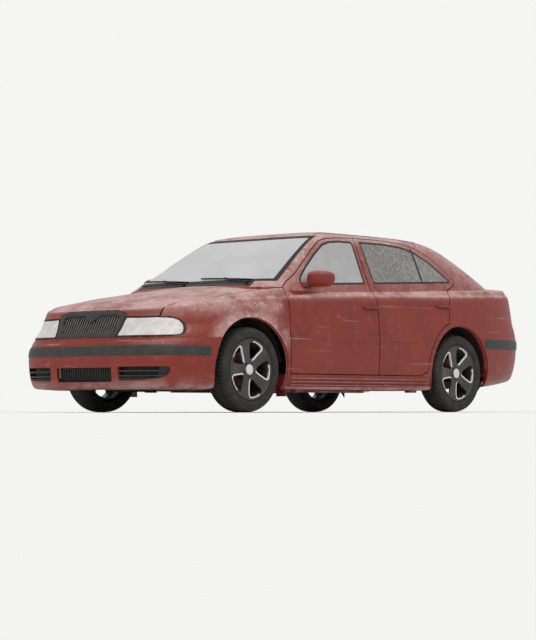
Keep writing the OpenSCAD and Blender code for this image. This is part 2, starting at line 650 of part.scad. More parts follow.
module wheel_body() {
    h = tyre_w / 2;
    // tyre
    rotate_extrude($fn = 120) polygon([[rim_r, -h * .84], [rim_r, h * .84], [rim_r + 10, h * .95],
        [rim_r + (tyre_r - rim_r) * .42, h], [rim_r + (tyre_r - rim_r) * .75, h * .97],
        [tyre_r - 12, h * .86], [tyre_r - 2, h * .66], [tyre_r, h * .3], [tyre_r, -h * .3],
        [tyre_r - 2, -h * .66], [tyre_r - 12, -h * .86], [rim_r + (tyre_r - rim_r) * .75, -h * .97],
        [rim_r + (tyre_r - rim_r) * .42, -h], [rim_r + 10, -h * .95]]);
    // rim and spokes
    difference() {
        rotate_extrude($fn = 120) polygon([[0, h * .74], [60, h * .76], [rim_r - 22, h * .88],
            [rim_r, h * .84], [rim_r, -h * .84], [rim_r - 16, -h * .84], [rim_r - 16, h * .5],
            [rim_r - 40, h * .62], [84, h * .46], [76, h * .16], [0, h * .16]]);
        for (i = [0:spokes - 1]) rotate(i * 360 / spokes + 90 + 180 / spokes)
            translate([0, 0, h * .2]) linear_extrude(h) intersection() {
                difference() { circle(r = rim_r - 27, $fn = 72); circle(r = 88, $fn = 48); }
                polygon([[30, 0], [400, -400 * tan(160 / spokes)], [400, 400 * tan(160 / spokes)]]);
            }
        translate([0, 0, -h]) cylinder(r = spindle_r + run_gap, h = h + h * .55, $fn = 48);
        for (i = [0:4]) rotate(i * 72 + 54) translate([bolt_circle_r, 0, h * .5])
            cylinder(r = bolt_hole_r, h = h, $fn = 24);
    }
    // brake disc and bell
    difference() {
        union() {
            translate([0, 0, -50]) cylinder(r = 128, h = 22, $fn = 72);
            translate([0, 0, -50]) cylinder(r = 71, h = 51 + h * .16, $fn = 48);
        }
        translate([0, 0, -h]) cylinder(r = spindle_r + run_gap, h = 2 * h, $fn = 48);
    }
}
module rear_axle() {
    yc = track_r / 2;
    rotate([90, 0, 0]) linear_extrude(2 * (yc - 160), center = true)
        polygon([[ra_x + 110, tyre_r - 40], [ra_x + 200, tyre_r - 40], [ra_x + 185, tyre_r + 34], [ra_x + 125, tyre_r + 34]]);
    both() {
        hull() {
            box(ra_x + 440, ra_x + 520, yc - 230, yc - 160, tyre_r - 44, tyre_r + 16);
            box(ra_x + 200, ra_x + 260, yc - 170, yc - 112, tyre_r - 36, tyre_r + 30);
        }
        box(ra_x - 60, ra_x + 230, yc - 170, yc - 116, tyre_r - 36, tyre_r + 36);
        translate([ra_x, yc - 117, tyre_r]) rotate([-90, 0, 0]) cylinder(r = 62, h = 38, $fn = 48);
        translate([ra_x, yc - 117, tyre_r]) rotate([-90, 0, 0]) cylinder(r = spindle_r, h = 157, $fn = 48);
        box(ra_x + 450, ra_x + 510, yc - 225, yc - 165, tyre_r + 10, pz(344) + .8);
    }
}
module rear_springs() {
    yc = track_r / 2;
    both() {
        translate([ra_x + 30, yc - 190, tyre_r + 36]) {
            cylinder(r = 52, h = 8, $fn = 48);
            translate([0, 0, 8]) coil(42, 7, pz(388) - tyre_r - 44, 3);
            cylinder(r = 22, h = pz(388) - tyre_r - 36, $fn = 48);
        }
    }
}
module engine_block() {
    translate([px(1560), 0, pz(520)]) cube(engine_size, center = true);
    both() box(px(1540), px(1600), engine_size[1] / 2 - 5, py(380) - .3, pz(340), pz(400));
}
run = [[px(1345) - .4, 0, pz(305)], [px(1130), 0, pz(305)], [px(1000), 0, pz(222)],
    [px(-1000), 0, pz(222)], [px(-1250), -py(300), pz(240)], [px(-2096), -py(456), pz(236)]];
module exhaust() {
    for (i = [0:len(run) - 2]) bar(run[i], run[i + 1], pipe_r);
    for (i = [1:len(run) - 2]) translate(run[i]) sphere(r = pipe_r * 1.08, $fn = 32);
    translate([px(-1912), -py(440), pz(262)]) scale([1, 1.3, .8]) rotate([0, 90, 0]) cylinder(r = 80, h = 320, center = true, $fn = 48);
    translate([px(-150), 0, pz(228)]) scale([1, 1.2, .8]) rotate([0, 90, 0]) cylinder(r = 66, h = 420, center = true, $fn = 48);
    // hangers
    box(px(-1260), px(-1246), -py(306), -py(294), pz(240), pz(391));
    box(px(-1956), px(-1944), -py(446), -py(434), pz(300), pz(397.6));
    for (s = [-1, 1]) box(px(-156), px(-144), s > 0 ? 60 : -py(107), s > 0 ? py(107) : -60, pz(224), pz(234));
}
module fuel_tank() {
    translate([px(-757), 0, pz(332.4) - tank_size[2] / 2]) difference() {
        cube(tank_size, center = true);
        translate([0, 0, -tank_size[2] / 2]) cube([tank_size[0] * 2, 2 * py(140), 190], center = true);
    }
}
module mudflaps() {
    a = arch_r * .98 + 8;
    mesh() both() {
        box(fa_x - a + .3, fa_x - a + 7, py(740), py(836), tyre_r * .38, tyre_r * .55 - .3);
        difference() {
            box(ra_x - a + 4, ra_x - a + 10, py(700), py(850), tyre_r * .4, tyre_r * .8);
            difference() {
                box(ra_x - a - 50, ra_x - a + 50, py(600), py(950), 0, 900);
                body_solid(bumper_t + .4, false);
            }
        }
    }
}
module cushion(x, y, z, l, w, t, tilt = 0) {
    translate([x, y, z]) rotate([0, tilt, 0]) hull() {
        for (i = [-1, 1]) for (j = [-1, 1]) translate([i * (l / 2 - 40), j * (w / 2 - 40), 0])
            cylinder(r = 40, h = t - 30, $fn = 24);
        for (i = [-1, 1]) for (j = [-1, 1]) translate([i * (l / 2 - 70), j * (w / 2 - 70), 0])
            cylinder(r = 40, h = t, $fn = 24);
    }
}
module front_seats() {
    for (s = [-1, 1]) {
        yc = s * py(365);
        translate([px(150), yc, 0]) box(-190, 190, -190, 190, floor_z + floor_t, pz(330));
        cushion(px(150), yc, pz(330), 520, seat_w, seat_t);
        translate([px(-112), yc, pz(400)]) rotate([0, -104, 0]) mirror([0, 0, 1]) translate([300, 0, 0])
            cushion(0, 0, 0, 600, seat_w, seat_t);
        translate([px(-232), yc, pz(1075)]) cube([70, 240, 150], center = true);
        translate([px(-215), yc, pz(960)]) cube([14, 140, 160], center = true);
    }
}
module rear_bench() {
    cushion(px(-690), 0, pz(388) + floor_t + .7, 480, bench_w, seat_t);
    translate([px(-880), 0, pz(420)]) rotate([0, -108, 0]) mirror([0, 0, 1]) translate([290, 0, 0])
        cushion(0, 0, 0, 580, bench_w, seat_t);
}
module dashboard() {
    difference() {
        rotate([90, 0, 0]) linear_extrude(py(1200), center = true)
            polygon(xz([[1064, 700], [1064, 890], [930, 915], [760, 905], [700, 850], [700, 780], [820, 700]]));
        translate(wheel_c) rotate([0, col_tilt, 0]) cylinder(r = col_r + .3, h = 600, $fn = 48);
    }
}
wheel_c = [px(520), py(365), pz(860)];
col_tilt = 115;
col_r = 32;
stub_r = 12;
module steering_column() {
    translate(wheel_c) rotate([0, col_tilt, 0]) difference() {
        translate([0, 0, 26]) cylinder(r = col_r, h = 330, $fn = 48);
        cylinder(r = stub_r + run_gap, h = 62, $fn = 48);
    }
}
module steering_wheel() {
    translate(wheel_c) rotate([0, col_tilt, 0]) {
        rotate_extrude($fn = 72) translate([steering_d / 2 - steering_rim_r, 0]) circle(r = steering_rim_r, $fn = 24);
        cylinder(r = 62, h = 20, $fn = 48);
        cylinder(r = stub_r, h = 56, $fn = 48);
        for (a = [0, 140, 220]) rotate(a) translate([40, -16, 0]) cube([steering_d / 2 - 50 - steering_rim_r * .4, 32, 12]);
    }
}

paint = [0.55, 0.24, 0.21];
color([.45, .2, .18]) floor_pan();
color([.5, .25, .22]) undertray();
color(paint) sills();
color(paint) body_sides();
color(paint) b_pillars();
color(paint) roof_panel();
color(paint) front_fenders();
color(paint) front_bumper();
color(paint) rear_bumper();
color([.15, .15, .15]) grille();
color([.8, .8, .8]) headlights();
color([.6, .1, .1]) tail_lights();
color([.7, .7, .7]) windscreen();
color([.15, .15, .15]) cowl();
color(paint) firewall();
color([.2, .15, .15]) inner_wings();
color([.2, .2, .2]) radiator();
color([.2, .2, .2]) subframe();
color([.2, .2, .2]) rear_axle();
color([.2, .2, .2]) rear_springs();
color([.4, .4, .4]) engine_block();
color([.4, .3, .25]) exhaust();
color([.15, .15, .15]) fuel_tank();
color([.35, .1, .1]) mudflaps();
color([.3, .3, .32]) front_seats();
color([.3, .3, .32]) rear_bench();
color([.2, .2, .2]) dashboard();
color([.2, .2, .2]) steering_column();
color([.1, .1, .1]) steering_wheel();
color(paint) bonnet();
color(paint) tailgate();
color([.6, .6, .6]) rear_screen();
color([.4, .4, .4]) knuckle();  // knuckle_left
color([.4, .4, .4]) mirror([0, 1, 0]) knuckle();  // knuckle_right
color([.2, .2, .2]) wheel(fa_x, track_f / 2);  // wheel_front_left
color([.2, .2, .2]) mirror([0, 1, 0]) wheel(fa_x, track_f / 2);  // wheel_front_right
color([.2, .2, .2]) wheel(ra_x, track_r / 2);  // wheel_rear_left
color([.2, .2, .2]) mirror([0, 1, 0]) wheel(ra_x, track_r / 2);  // wheel_rear_right
color(paint) front_door();  // front_door_left
color(paint) mirror([0, 1, 0]) front_door();  // front_door_right
color(paint) rear_door();  // rear_door_left
color(paint) mirror([0, 1, 0]) rear_door();  // rear_door_right
color(paint) fuel_flap();
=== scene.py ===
"""Weathered five-door liftback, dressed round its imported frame.

Body skins follow the same nested rings as the frame, and wheels, trim, lamps and cabin are
surfaces worked out with numpy. Lengths in the classes are millimetres; meshes are metres.
"""

import json
import logging
import math
from dataclasses import dataclass, field
from enum import Enum
from typing import Callable, Sequence

import bpy
import numpy as np
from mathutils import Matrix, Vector

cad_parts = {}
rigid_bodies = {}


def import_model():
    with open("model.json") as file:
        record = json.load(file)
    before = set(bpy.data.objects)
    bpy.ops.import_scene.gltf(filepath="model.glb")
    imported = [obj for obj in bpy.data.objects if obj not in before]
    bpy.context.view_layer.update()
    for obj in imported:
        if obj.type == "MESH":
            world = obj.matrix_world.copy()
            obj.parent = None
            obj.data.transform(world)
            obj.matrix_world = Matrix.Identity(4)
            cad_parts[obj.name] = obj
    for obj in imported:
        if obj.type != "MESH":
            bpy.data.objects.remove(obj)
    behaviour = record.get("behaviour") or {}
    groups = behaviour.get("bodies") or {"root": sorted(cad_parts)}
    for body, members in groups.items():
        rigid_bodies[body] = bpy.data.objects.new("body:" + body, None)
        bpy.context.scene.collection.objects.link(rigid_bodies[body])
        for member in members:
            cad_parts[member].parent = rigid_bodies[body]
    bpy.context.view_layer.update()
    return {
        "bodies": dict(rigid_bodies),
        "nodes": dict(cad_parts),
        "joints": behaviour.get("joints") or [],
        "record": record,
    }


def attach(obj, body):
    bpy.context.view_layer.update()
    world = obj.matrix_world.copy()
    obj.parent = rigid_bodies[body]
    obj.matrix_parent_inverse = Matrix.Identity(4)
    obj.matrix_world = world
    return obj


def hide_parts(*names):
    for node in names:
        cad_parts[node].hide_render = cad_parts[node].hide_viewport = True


LOG = logging.getLogger("liftback")
MM = 0.001
Array = np.ndarray
Region = Callable[[Array], Array]


# ---------------------------------------------------------------- finishes

def linear(hex_colour: str) -> tuple[float, float, float, float]:
    """Turn an sRGB hex colour into the linear colour that shaders take.

    Args:
        hex_colour: Six hex digits after a hash.
    Returns:
        Linear red, green, blue and an alpha of 1.
    """
    channels = [int(hex_colour[i:i + 2], 16) / 255 for i in (1, 3, 5)]
    lin = [c / 12.92 if c <= 0.04045 else ((c + 0.055) / 1.055) ** 2.4 for c in channels]
    return (lin[0], lin[1], lin[2], 1.0)


def add(tree: bpy.types.NodeTree, kind: str, inputs: dict | None = None,
        stops: Sequence[tuple[float, float]] = (), **settings: object) -> bpy.types.Node:
    """Add one node with its settings, socket values and links.

    Args:
        tree: The node tree that gets the node.
        kind: The node's type name.
        inputs: Socket name or index to a value, or to a socket that is linked in.
        stops: Places and grey values of a colour ramp.
        settings: Properties of the node.
    Returns:
        The new node.
    """
    made = tree.nodes.new(kind)
    for key, value in settings.items():
        setattr(made, key, value)
    for key, value in (inputs or {}).items():
        if isinstance(value, bpy.types.NodeSocket):
            tree.links.new(value, made.inputs[key])
        else:
            made.inputs[key].default_value = value
    if stops:
        ramp = made.color_ramp
        while len(ramp.elements) < len(stops):
            ramp.elements.new(0.5)
        for element, (place, grey) in zip(ramp.elements, stops):
            element.position, element.color = place, (grey, grey, grey, 1.0)
    return made


class Source(Enum):
    """What a finish layer takes its pattern from."""

    CLOUDS = "clouds"        # soft blotches
    CRACKS = "cracks"        # thin net of lines
    BANDS = "bands"          # straight ribs or threads
    VERTEX = "vertex"        # value worked out for each point of the mesh


@dataclass(frozen=True)
class Layer:
    """One colour laid over a finish where a pattern is strong."""

    colour: str
    source: Source = Source.CLOUDS
    size: float = 60.0                                   # mm across one feature
    stretch: tuple[float, float, float] = (1, 1, 1)      # pattern frequency along x, y, z
    low: float = 0.45
    high: float = 0.7
    amount: float = 0.6
    roughness: float = 0.7
    attribute: str = ""                                  # vertex value, alone or as a multiplier
    detail: float = 5.0

    def mask(self, tree: bpy.types.NodeTree, place: bpy.types.NodeSocket) -> bpy.types.NodeSocket:
        """Return the 0 to amount strength of the layer.

        Args:
            tree: The material's node tree.
            place: Object coordinates.
        Returns:
            Socket with the strength.
        """
        scaled = add(tree, "ShaderNodeMapping", {"Vector": place, "Scale": self.stretch})
        scale = 1000.0 / self.size
        if self.source is Source.CRACKS:
            pattern = add(tree, "ShaderNodeTexVoronoi", {"Vector": scaled.outputs[0], "Scale": scale},
                          feature="DISTANCE_TO_EDGE").outputs["Distance"]
        elif self.source is Source.BANDS:
            pattern = add(tree, "ShaderNodeTexWave", {"Vector": scaled.outputs[0], "Scale": scale / 2,
                          "Distortion": 0.4, "Detail": 1.0}).outputs["Fac"]
        elif self.source is Source.VERTEX:
            pattern = add(tree, "ShaderNodeAttribute", attribute_name=self.attribute).outputs["Fac"]
        else:
            pattern = add(tree, "ShaderNodeTexNoise", {"Vector": scaled.outputs[0], "Scale": scale,
                          "Detail": self.detail, "Roughness": 0.62}).outputs["Fac"]
        strength = add(tree, "ShaderNodeMapRange", {0: pattern, 1: self.low, 2: self.high, 3: 0.0,
                       4: self.amount}, interpolation_type="SMOOTHSTEP").outputs[0]
        if self.attribute and self.source is not Source.VERTEX:
            value = add(tree, "ShaderNodeAttribute", attribute_name=self.attribute).outputs["Fac"]
            strength = add(tree, "ShaderNodeMath", {0: strength, 1: value},
                           operation="MULTIPLY").outputs[0]
        return strength


class Slot(Enum):
    """The record's material slots."""

    PAINT = "paint"
    UNDERBODY = "underbody"
    PLASTIC = "dark_plastic"
    LENS = "lamp_lens"
    GLASS = "window_glass"
    STEEL = "steel_parts"
    EXHAUST = "exhaust_steel"
    TYRE = "tyre_rubber"
    CLOTH = "seat_cloth"
    CABIN = "cabin_plastic"


@dataclass(frozen=True)
class Finish:
    """A real material: base colour, layers of wear and dirt with some painted light and shade, gloss and
    fine relief.
    """

    name: str
    colour: str
    roughness: float = 0.5
    metallic: float = 0.0
    ior: float = 1.5
    coat: float = 0.0
    sheen: float = 0.0
    layers: tuple[Layer, ...] = ()
    grain: float = 3.0        # mm across the finest relief
    relief: float = 0.15      # mm high
    dents: float = 0.0        # mm high, over 180 mm swells
    slot: Slot | None = None  # the record's material slot that matches it

    def material(self) -> bpy.types.Material:
        """Build the node material once and return it from then on."""
        found = bpy.data.materials.get(self.name)
        if found:
            return found
        made = bpy.data.materials.new(self.name)
        made.use_nodes = True
        tree = made.node_tree
        tree.nodes.clear()
        place = add(tree, "ShaderNodeTexCoord").outputs["Object"]
        tint = add(tree, "ShaderNodeRGB").outputs[0]
        tint.default_value = linear(self.colour)
        gloss = add(tree, "ShaderNodeValue").outputs[0]
        gloss.default_value = self.roughness
        for layer in self.layers:
            strength = layer.mask(tree, place)
            tint = add(tree, "ShaderNodeMix", {0: strength, 6: tint, 7: linear(layer.colour)},
                       data_type="RGBA").outputs[2]
            gloss = add(tree, "ShaderNodeMix", {0: strength, 2: gloss, 3: layer.roughness},
                        data_type="FLOAT").outputs[0]
        fine = add(tree, "ShaderNodeTexNoise", {"Vector": place, "Scale": 1000.0 / self.grain,
                   "Detail": 3.0}).outputs["Fac"]
        normal = add(tree, "ShaderNodeBump", {"Height": fine, "Strength": 1.0,
                     "Distance": self.relief * MM}).outputs[0]
        if self.dents:
            swell = add(tree, "ShaderNodeTexNoise", {"Vector": place, "Scale": 5.5, "Detail": 2.0})
            normal = add(tree, "ShaderNodeBump", {"Height": swell.outputs["Fac"], "Strength": 1.0,
                         "Distance": self.dents * MM, "Normal": normal}).outputs[0]
        shader = add(tree, "ShaderNodeBsdfPrincipled", {"Base Color": tint, "Roughness": gloss,
                     "Normal": normal, "Metallic": self.metallic, "IOR": self.ior,
                     "Coat Weight": self.coat, "Coat Roughness": 0.2, "Sheen Weight": self.sheen})
        add(tree, "ShaderNodeOutputMaterial", {"Surface": shader.outputs[0]})
        made.diffuse_color = linear(self.colour)
        return made


# Two-pack car paint left outdoors: the lacquer is dull, chalked pale where rain and sun fall, a paleness on
# up-facing faces that is partly a painted highlight of the light from above, and scratched through in fine
# pale lines.
PAINT = Finish("weathered_red_paint", "#822c1f", roughness=0.4, ior=1.4, relief=0.12, grain=2.4,
               dents=2.5, slot=Slot.PAINT, layers=(
    Layer("#6c2018", size=420, low=0.4, high=0.62, amount=0.5, roughness=0.36),
    Layer("#934a3e", size=70, low=0.54, high=0.74, amount=0.5, roughness=0.55),
    Layer("#a58a86", size=150, low=0.3, high=0.6, amount=0.85, roughness=0.75, attribute="salt"),
    # The next two layers pale faces that look up: partly real chalk, partly a painted highlight of light
    # from above.
    Layer("#c9a5a0", size=230, low=0.2, high=0.62, amount=0.92, roughness=0.72, attribute="bloom"),
    Layer("#d8c2be", size=34, low=0.5, high=0.72, amount=0.8, roughness=0.8, attribute="bloom"),
    Layer("#b98078", size=110, stretch=(0.6, 1, 1.6), low=0.64, high=0.76, amount=0.4),
    Layer("#caa8a2", size=420, stretch=(0.3, 1, 20), low=0.69, high=0.71, amount=0.35, detail=2.0),
    Layer("#401a16", size=9, low=0.66, high=0.74, amount=0.45, roughness=0.8)))
# Underseal over the same paint: red oxide, patched grey-white where it has flaked and salted.
UNDERSEAL = Finish("flaked_red_underseal", "#84524c", slot=Slot.UNDERBODY, roughness=0.6,
                   relief=0.5, grain=6, layers=(
    Layer("#b79c97", size=150, stretch=(0.4, 1, 1), low=0.42, high=0.6, amount=0.8, roughness=0.8),
    Layer("#d3cbc7", size=60, low=0.58, high=0.68, amount=0.7, roughness=0.85),
    Layer("#4a2a27", size=38, stretch=(0.4, 1, 1), low=0.6)))
# Polypropylene trim: dark grey, slightly shiny, dust in its grain.
PLASTIC = Finish("moulded_dark_polypropylene", "#272823", roughness=0.5, relief=0.2, grain=1.6, layers=(
    Layer("#3b3c36", size=90, amount=0.7, roughness=0.62),
    Layer("#7b7974", size=7, low=0.68, high=0.78, amount=0.45, roughness=0.8)))
# Grille bars, paled by dust that the black behind them sets off.
BARS = Finish("dusty_grille_bars", "#7d7671", slot=Slot.PLASTIC, roughness=0.6,
              relief=0.1, grain=1.6, layers=(
    Layer("#3c3936", size=40, amount=0.7, roughness=0.6),))
# The same plastic made darker: painted shade inside the intakes and behind the grille, and plain black
# plastic for frames, wipers, battery and tank.
BLACK_PLASTIC_AND_SHADE = Finish("matt_black_plastic_and_painted_shade", "#101110", roughness=0.7, relief=0.2, grain=2, layers=(
    Layer("#242523", size=45, low=0.5, amount=0.7, roughness=0.8),))
# EPDM rubber seal: soft black, greyed by ozone.
SEAL = Finish("aged_epdm_seal", "#1d1c1c", roughness=0.62, relief=0.15, grain=2.0, layers=(
    Layer("#474443", size=50, low=0.5, high=0.75, roughness=0.75),))
# Tyre rubber: carbon black browned by road dust, which stays in the tread and on the plain wall; the grooves
# are painted darker as shade.
RUBBER = Finish("dusty_tyre_rubber", "#1e1c1b", slot=Slot.TYRE, roughness=0.78,
                relief=0.25, grain=2.2, layers=(
    Layer("#383431", size=70, low=0.4, high=0.68, amount=0.8, roughness=0.85),
    Layer("#5f5a56", size=12, low=0.62, high=0.75, amount=0.5, roughness=0.9),
    # painted shade: grooves darker than the rubber around them
    Layer("#0f0e0e", Source.VERTEX, attribute="groove", low=0.1, high=0.9, amount=0.85, roughness=0.9)))
# Cast wheel, powder-coated dark, its window edges turned bright and lacquered.
ALLOY = Finish("black_coated_cast_alloy", "#262524", slot=Slot.STEEL, roughness=0.42, coat=0.2,
               relief=0.1, grain=1.5, layers=(
    Layer("#3c3a38", size=30, amount=0.7, roughness=0.5),
    Layer("#5b5652", size=6, low=0.64, high=0.76, amount=0.5, roughness=0.8),
    Layer("#dedcda", Source.VERTEX, attribute="edge", low=0.35, high=0.6, amount=1.0, roughness=0.32)))
# The same casting turned bright and left bare: satin, with a little grey bloom.
BRIGHT = Finish("machined_bright_alloy", "#dcdad8", roughness=0.34, metallic=0.35, relief=0.05, grain=0.8,
                layers=(Layer("#a9a5a2", size=14, low=0.5, high=0.75, roughness=0.5),))
# Cast iron with a film of orange rust.
IRON = Finish("rusted_cast_iron", "#5b4238", roughness=0.75, metallic=0.2, relief=0.4, grain=3, layers=(
    Layer("#7d4a2e", size=40, low=0.42, high=0.62, amount=0.8, roughness=0.85),
    Layer("#2c2523", size=22, low=0.55, amount=0.7)))
# Black chassis lacquer over steel, chipped to rust.
CHASSIS = Finish("chipped_chassis_black", "#262423", roughness=0.55, relief=0.3, grain=4, layers=(
    Layer("#4b3a32", size=60, low=0.52, high=0.68, amount=0.75, roughness=0.8),
    Layer("#7b736d", size=16, low=0.62, high=0.75, amount=0.5, roughness=0.85)))
# Aluminised exhaust tube, straw and brown from heat.
EXHAUST = Finish("heat_stained_steel", "#6b625a", slot=Slot.EXHAUST, roughness=0.5, metallic=0.7,
                 relief=0.2, grain=3, layers=(
    Layer("#6a4a33", size=90, low=0.42, high=0.64, amount=0.8, roughness=0.75),))
# Laminated glass gone white: sand-blown frosting under a coat of dust, opaque to the eye.
GLASS = Finish("frosted_laminated_glass", "#b9b8ba", slot=Slot.GLASS, roughness=0.3, coat=0.5,
               relief=0.03, grain=3, layers=(
    Layer("#cccbcc", size=500, low=0.35, amount=0.7, roughness=0.4),
    Layer("#a6a5a7", size=260, stretch=(1, 1, 0.6), low=0.52, high=0.75, amount=0.45, roughness=0.32)))
# Toughened door glass with the same frosting, a shade darker.
SIDE_GLASS = Finish("frosted_side_glass", "#a1a0a0", slot=Slot.GLASS, roughness=0.3, coat=0.5,
                    relief=0.03, grain=3, layers=(
    Layer("#b1b0b0", size=260, low=0.4, amount=0.7, roughness=0.4),
    Layer("#8f8e8d", size=90, stretch=(1, 1, 2), low=0.58, high=0.72, amount=0.5)))
# Rear door glass under a torn tint film: grey, with a net of fine pale cracks.
REAR_GLASS = Finish("scratched_tinted_glass", "#6a6664", slot=Slot.GLASS, roughness=0.28, coat=0.5,
                    relief=0.05, grain=3,
                    layers=(
    Layer("#807c79", size=200, low=0.4, roughness=0.4),
    Layer("#4f4b49", size=46, stretch=(1.6, 1, 1), low=0.5, amount=0.7),
    Layer("#b5b1ae", Source.CRACKS, size=64, stretch=(1.5, 1, 0.8), low=0.05, high=0.01, amount=0.42),
    Layer("#a8a4a1", Source.CRACKS, size=23, low=0.07, high=0.02, amount=0.3)))
# Polycarbonate lamp lens, sun-clouded to milk.
LENS = Finish("clouded_polycarbonate", "#c9c4c0", roughness=0.3, coat=0.6, relief=0.06, grain=4, layers=(
    Layer("#e2dfdc", size=70, amount=0.8, roughness=0.4),
    Layer("#a39e9a", size=38, low=0.6, high=0.74, amount=0.55, roughness=0.5),
    Layer("#8d8884", Source.BANDS, size=17, stretch=(0, 1, 0), low=0.8, high=1.0, amount=0.25)))
# Acrylic tail lamp lenses, bleached by the sun, their prisms showing as thin bands.
RED_LENS = Finish("faded_red_acrylic", "#8d1f1b", roughness=0.25, coat=0.6, relief=0.1, grain=5, layers=(
    Layer("#b04a44", size=80, low=0.5, high=0.75, roughness=0.4),
    Layer("#5b110f", Source.BANDS, size=12, stretch=(0, 0, 1), low=0.7, high=1.0, amount=0.5)))
AMBER_LENS = Finish("faded_amber_acrylic", "#b7682a", roughness=0.25, coat=0.6,
                    relief=0.1, grain=5, layers=(
    Layer("#cf9663", size=60, low=0.5, high=0.75, roughness=0.4),))
# Wheel house liner: thrown road dirt over the red.
LINER = Finish("road_dirt_on_red_liner", "#2e1615", roughness=0.8, relief=0.6, grain=5, layers=(
    Layer("#1b1413", size=120, low=0.42, high=0.62, amount=0.85, roughness=0.9),
    Layer("#5b403a", size=24, low=0.62, high=0.75, amount=0.5, roughness=0.9)))
# Mudguard sheet: moulded rubber in the body colour.
FLAP = Finish("moulded_red_rubber", "#5c1c1a", roughness=0.6, relief=0.25, grain=3, layers=(
    Layer("#7b403b", size=60, low=0.48, roughness=0.8),
    Layer("#9a7b76", size=14, low=0.62, high=0.76, amount=0.5, roughness=0.85)))
# Flat-woven seat cloth, threads drawn at 3 mm so that they show.
CLOTH = Finish("woven_seat_cloth", "#4c4b4f", slot=Slot.CLOTH, roughness=0.9, sheen=0.4,
               relief=0.35, grain=2.5, layers=(
    Layer("#66646a", Source.BANDS, size=6, stretch=(0, 1, 0), low=0.3, high=0.9, amount=0.5, roughness=0.9),
    Layer("#38373b", Source.BANDS, size=6, stretch=(0, 0, 1), low=0.5, high=1.0, amount=0.4, roughness=0.9),
    Layer("#7a7064", size=160, low=0.5, high=0.75, amount=0.5, roughness=0.95)))
# Vinyl skin of the dash: a fine moulded grain, with dusty blotches.
CABIN_PLASTIC = Finish("grained_dash_vinyl", "#3b3a3b", slot=Slot.CABIN, roughness=0.6,
                       relief=0.3, grain=1.8, layers=(
    Layer("#56524f", size=90, low=0.48, high=0.72, roughness=0.75),))
# Painted number plate sheet, left blank.
PLATE = Finish("blank_reflective_sheet", "#d8d5cc", roughness=0.5, relief=0.08, grain=3, layers=(
    Layer("#a9a196", size=50, low=0.5, high=0.72),))
# Cast aluminium of the engine: dull grey, oily brown in its hollows.
ALUMINIUM = Finish("cast_aluminium", "#8b8884", slot=Slot.STEEL, roughness=0.6, metallic=0.6,
                   relief=0.4, grain=3, layers=(
    Layer("#5d5650", size=50, amount=0.75, roughness=0.8),))
# Darker red painted on as the shade in the hollow behind a handle; the hollow itself is a flat patch.
SHADE = Finish("shaded_red_paint", "#5c2420", roughness=0.55, relief=0.1, grain=2.5, layers=(
    Layer("#7b3b35", size=40, low=0.5, high=0.75, amount=0.5, roughness=0.6),))
# Silvered mirror glass under a film of dust.
MIRROR = Finish("dusty_mirror_glass", "#8f9092", slot=Slot.GLASS, roughness=0.25, metallic=0.6,
                relief=0.02, grain=4, layers=(
    Layer("#b4b1ad", size=40, amount=0.7, roughness=0.6),))


# ---------------------------------------------------------------- surfaces

def ease(x: Array) -> Array:
    """Smooth step: 3x^2 - 2x^3 between 0 and 1."""
    u = np.clip(x, 0, 1)
    return u * u * (3 - 2 * u)


def curve(knots: Sequence[float], values: Array, x: Array, own: bool = False) -> Array:
    """Monotone cubic through values at knots, with the harmonic mean of slopes at each knot.

    Args:
        knots: Increasing places.
        values: Values at the knots, along the first axis; further axes are columns.
        x: Places to evaluate.
        own: Whether each point has its own values, in axes like those of x.
    Returns:
        The curve's value at each x, with the columns last.
    """
    knots, x = np.asarray(knots, float), np.asarray(x, float)
    values = np.asarray(values, float)
    secant = np.diff(values, axis=0) / np.diff(knots).reshape(-1, *[1] * (values.ndim - 1))
    p, q = secant[:-1], secant[1:]
    same = p * q > 0
    middle = np.where(same, 2 * p * q / np.where(same, p + q, 1), 0)
    slope = np.concatenate([secant[:1], middle, secant[-1:]])
    c = np.clip(x, knots[0], knots[-1])
    i = np.clip(np.searchsorted(knots, c, side="right") - 1, 0, len(knots) - 2)
    h = knots[i + 1] - knots[i]
    u = (c - knots[i]) / h
    weights = (2 * u ** 3 - 3 * u ** 2 + 1, 3 * u ** 2 - 2 * u ** 3, (u ** 3 - 2 * u ** 2 + u) * h,
               (u ** 3 - u ** 2) * h)
    if own:
        here = np.indices(x.shape, sparse=True)
        first, second = (i, *here), (i + 1, *here)
    else:
        first, second = i, i + 1
        weights = [w.reshape(w.shape + (1,) * (values.ndim - 1)) for w in weights]
    return (weights[0] * values[first] + weights[1] * values[second] + weights[2] * slope[first]
            + weights[3] * slope[second])


def solve(rising: Callable[[Array], Array], low: float, high: float, like: Array) -> Array:
    """Find where a rising function crosses zero, by halving whole arrays 24 times.

    Args:
        rising: Function of an array of trial values.
        low: Lowest trial value.
        high: Highest trial value.
        like: Array whose shape the answer has.
    Returns:
        The crossing, or the nearer end.
    """
    lo, hi = np.full(like.shape, float(low)), np.full(like.shape, float(high))
    for _ in range(24):
        mid = (lo + hi) / 2
        above = rising(mid) > 0
        hi, lo = np.where(above, mid, hi), np.where(above, lo, mid)
    return (lo + hi) / 2


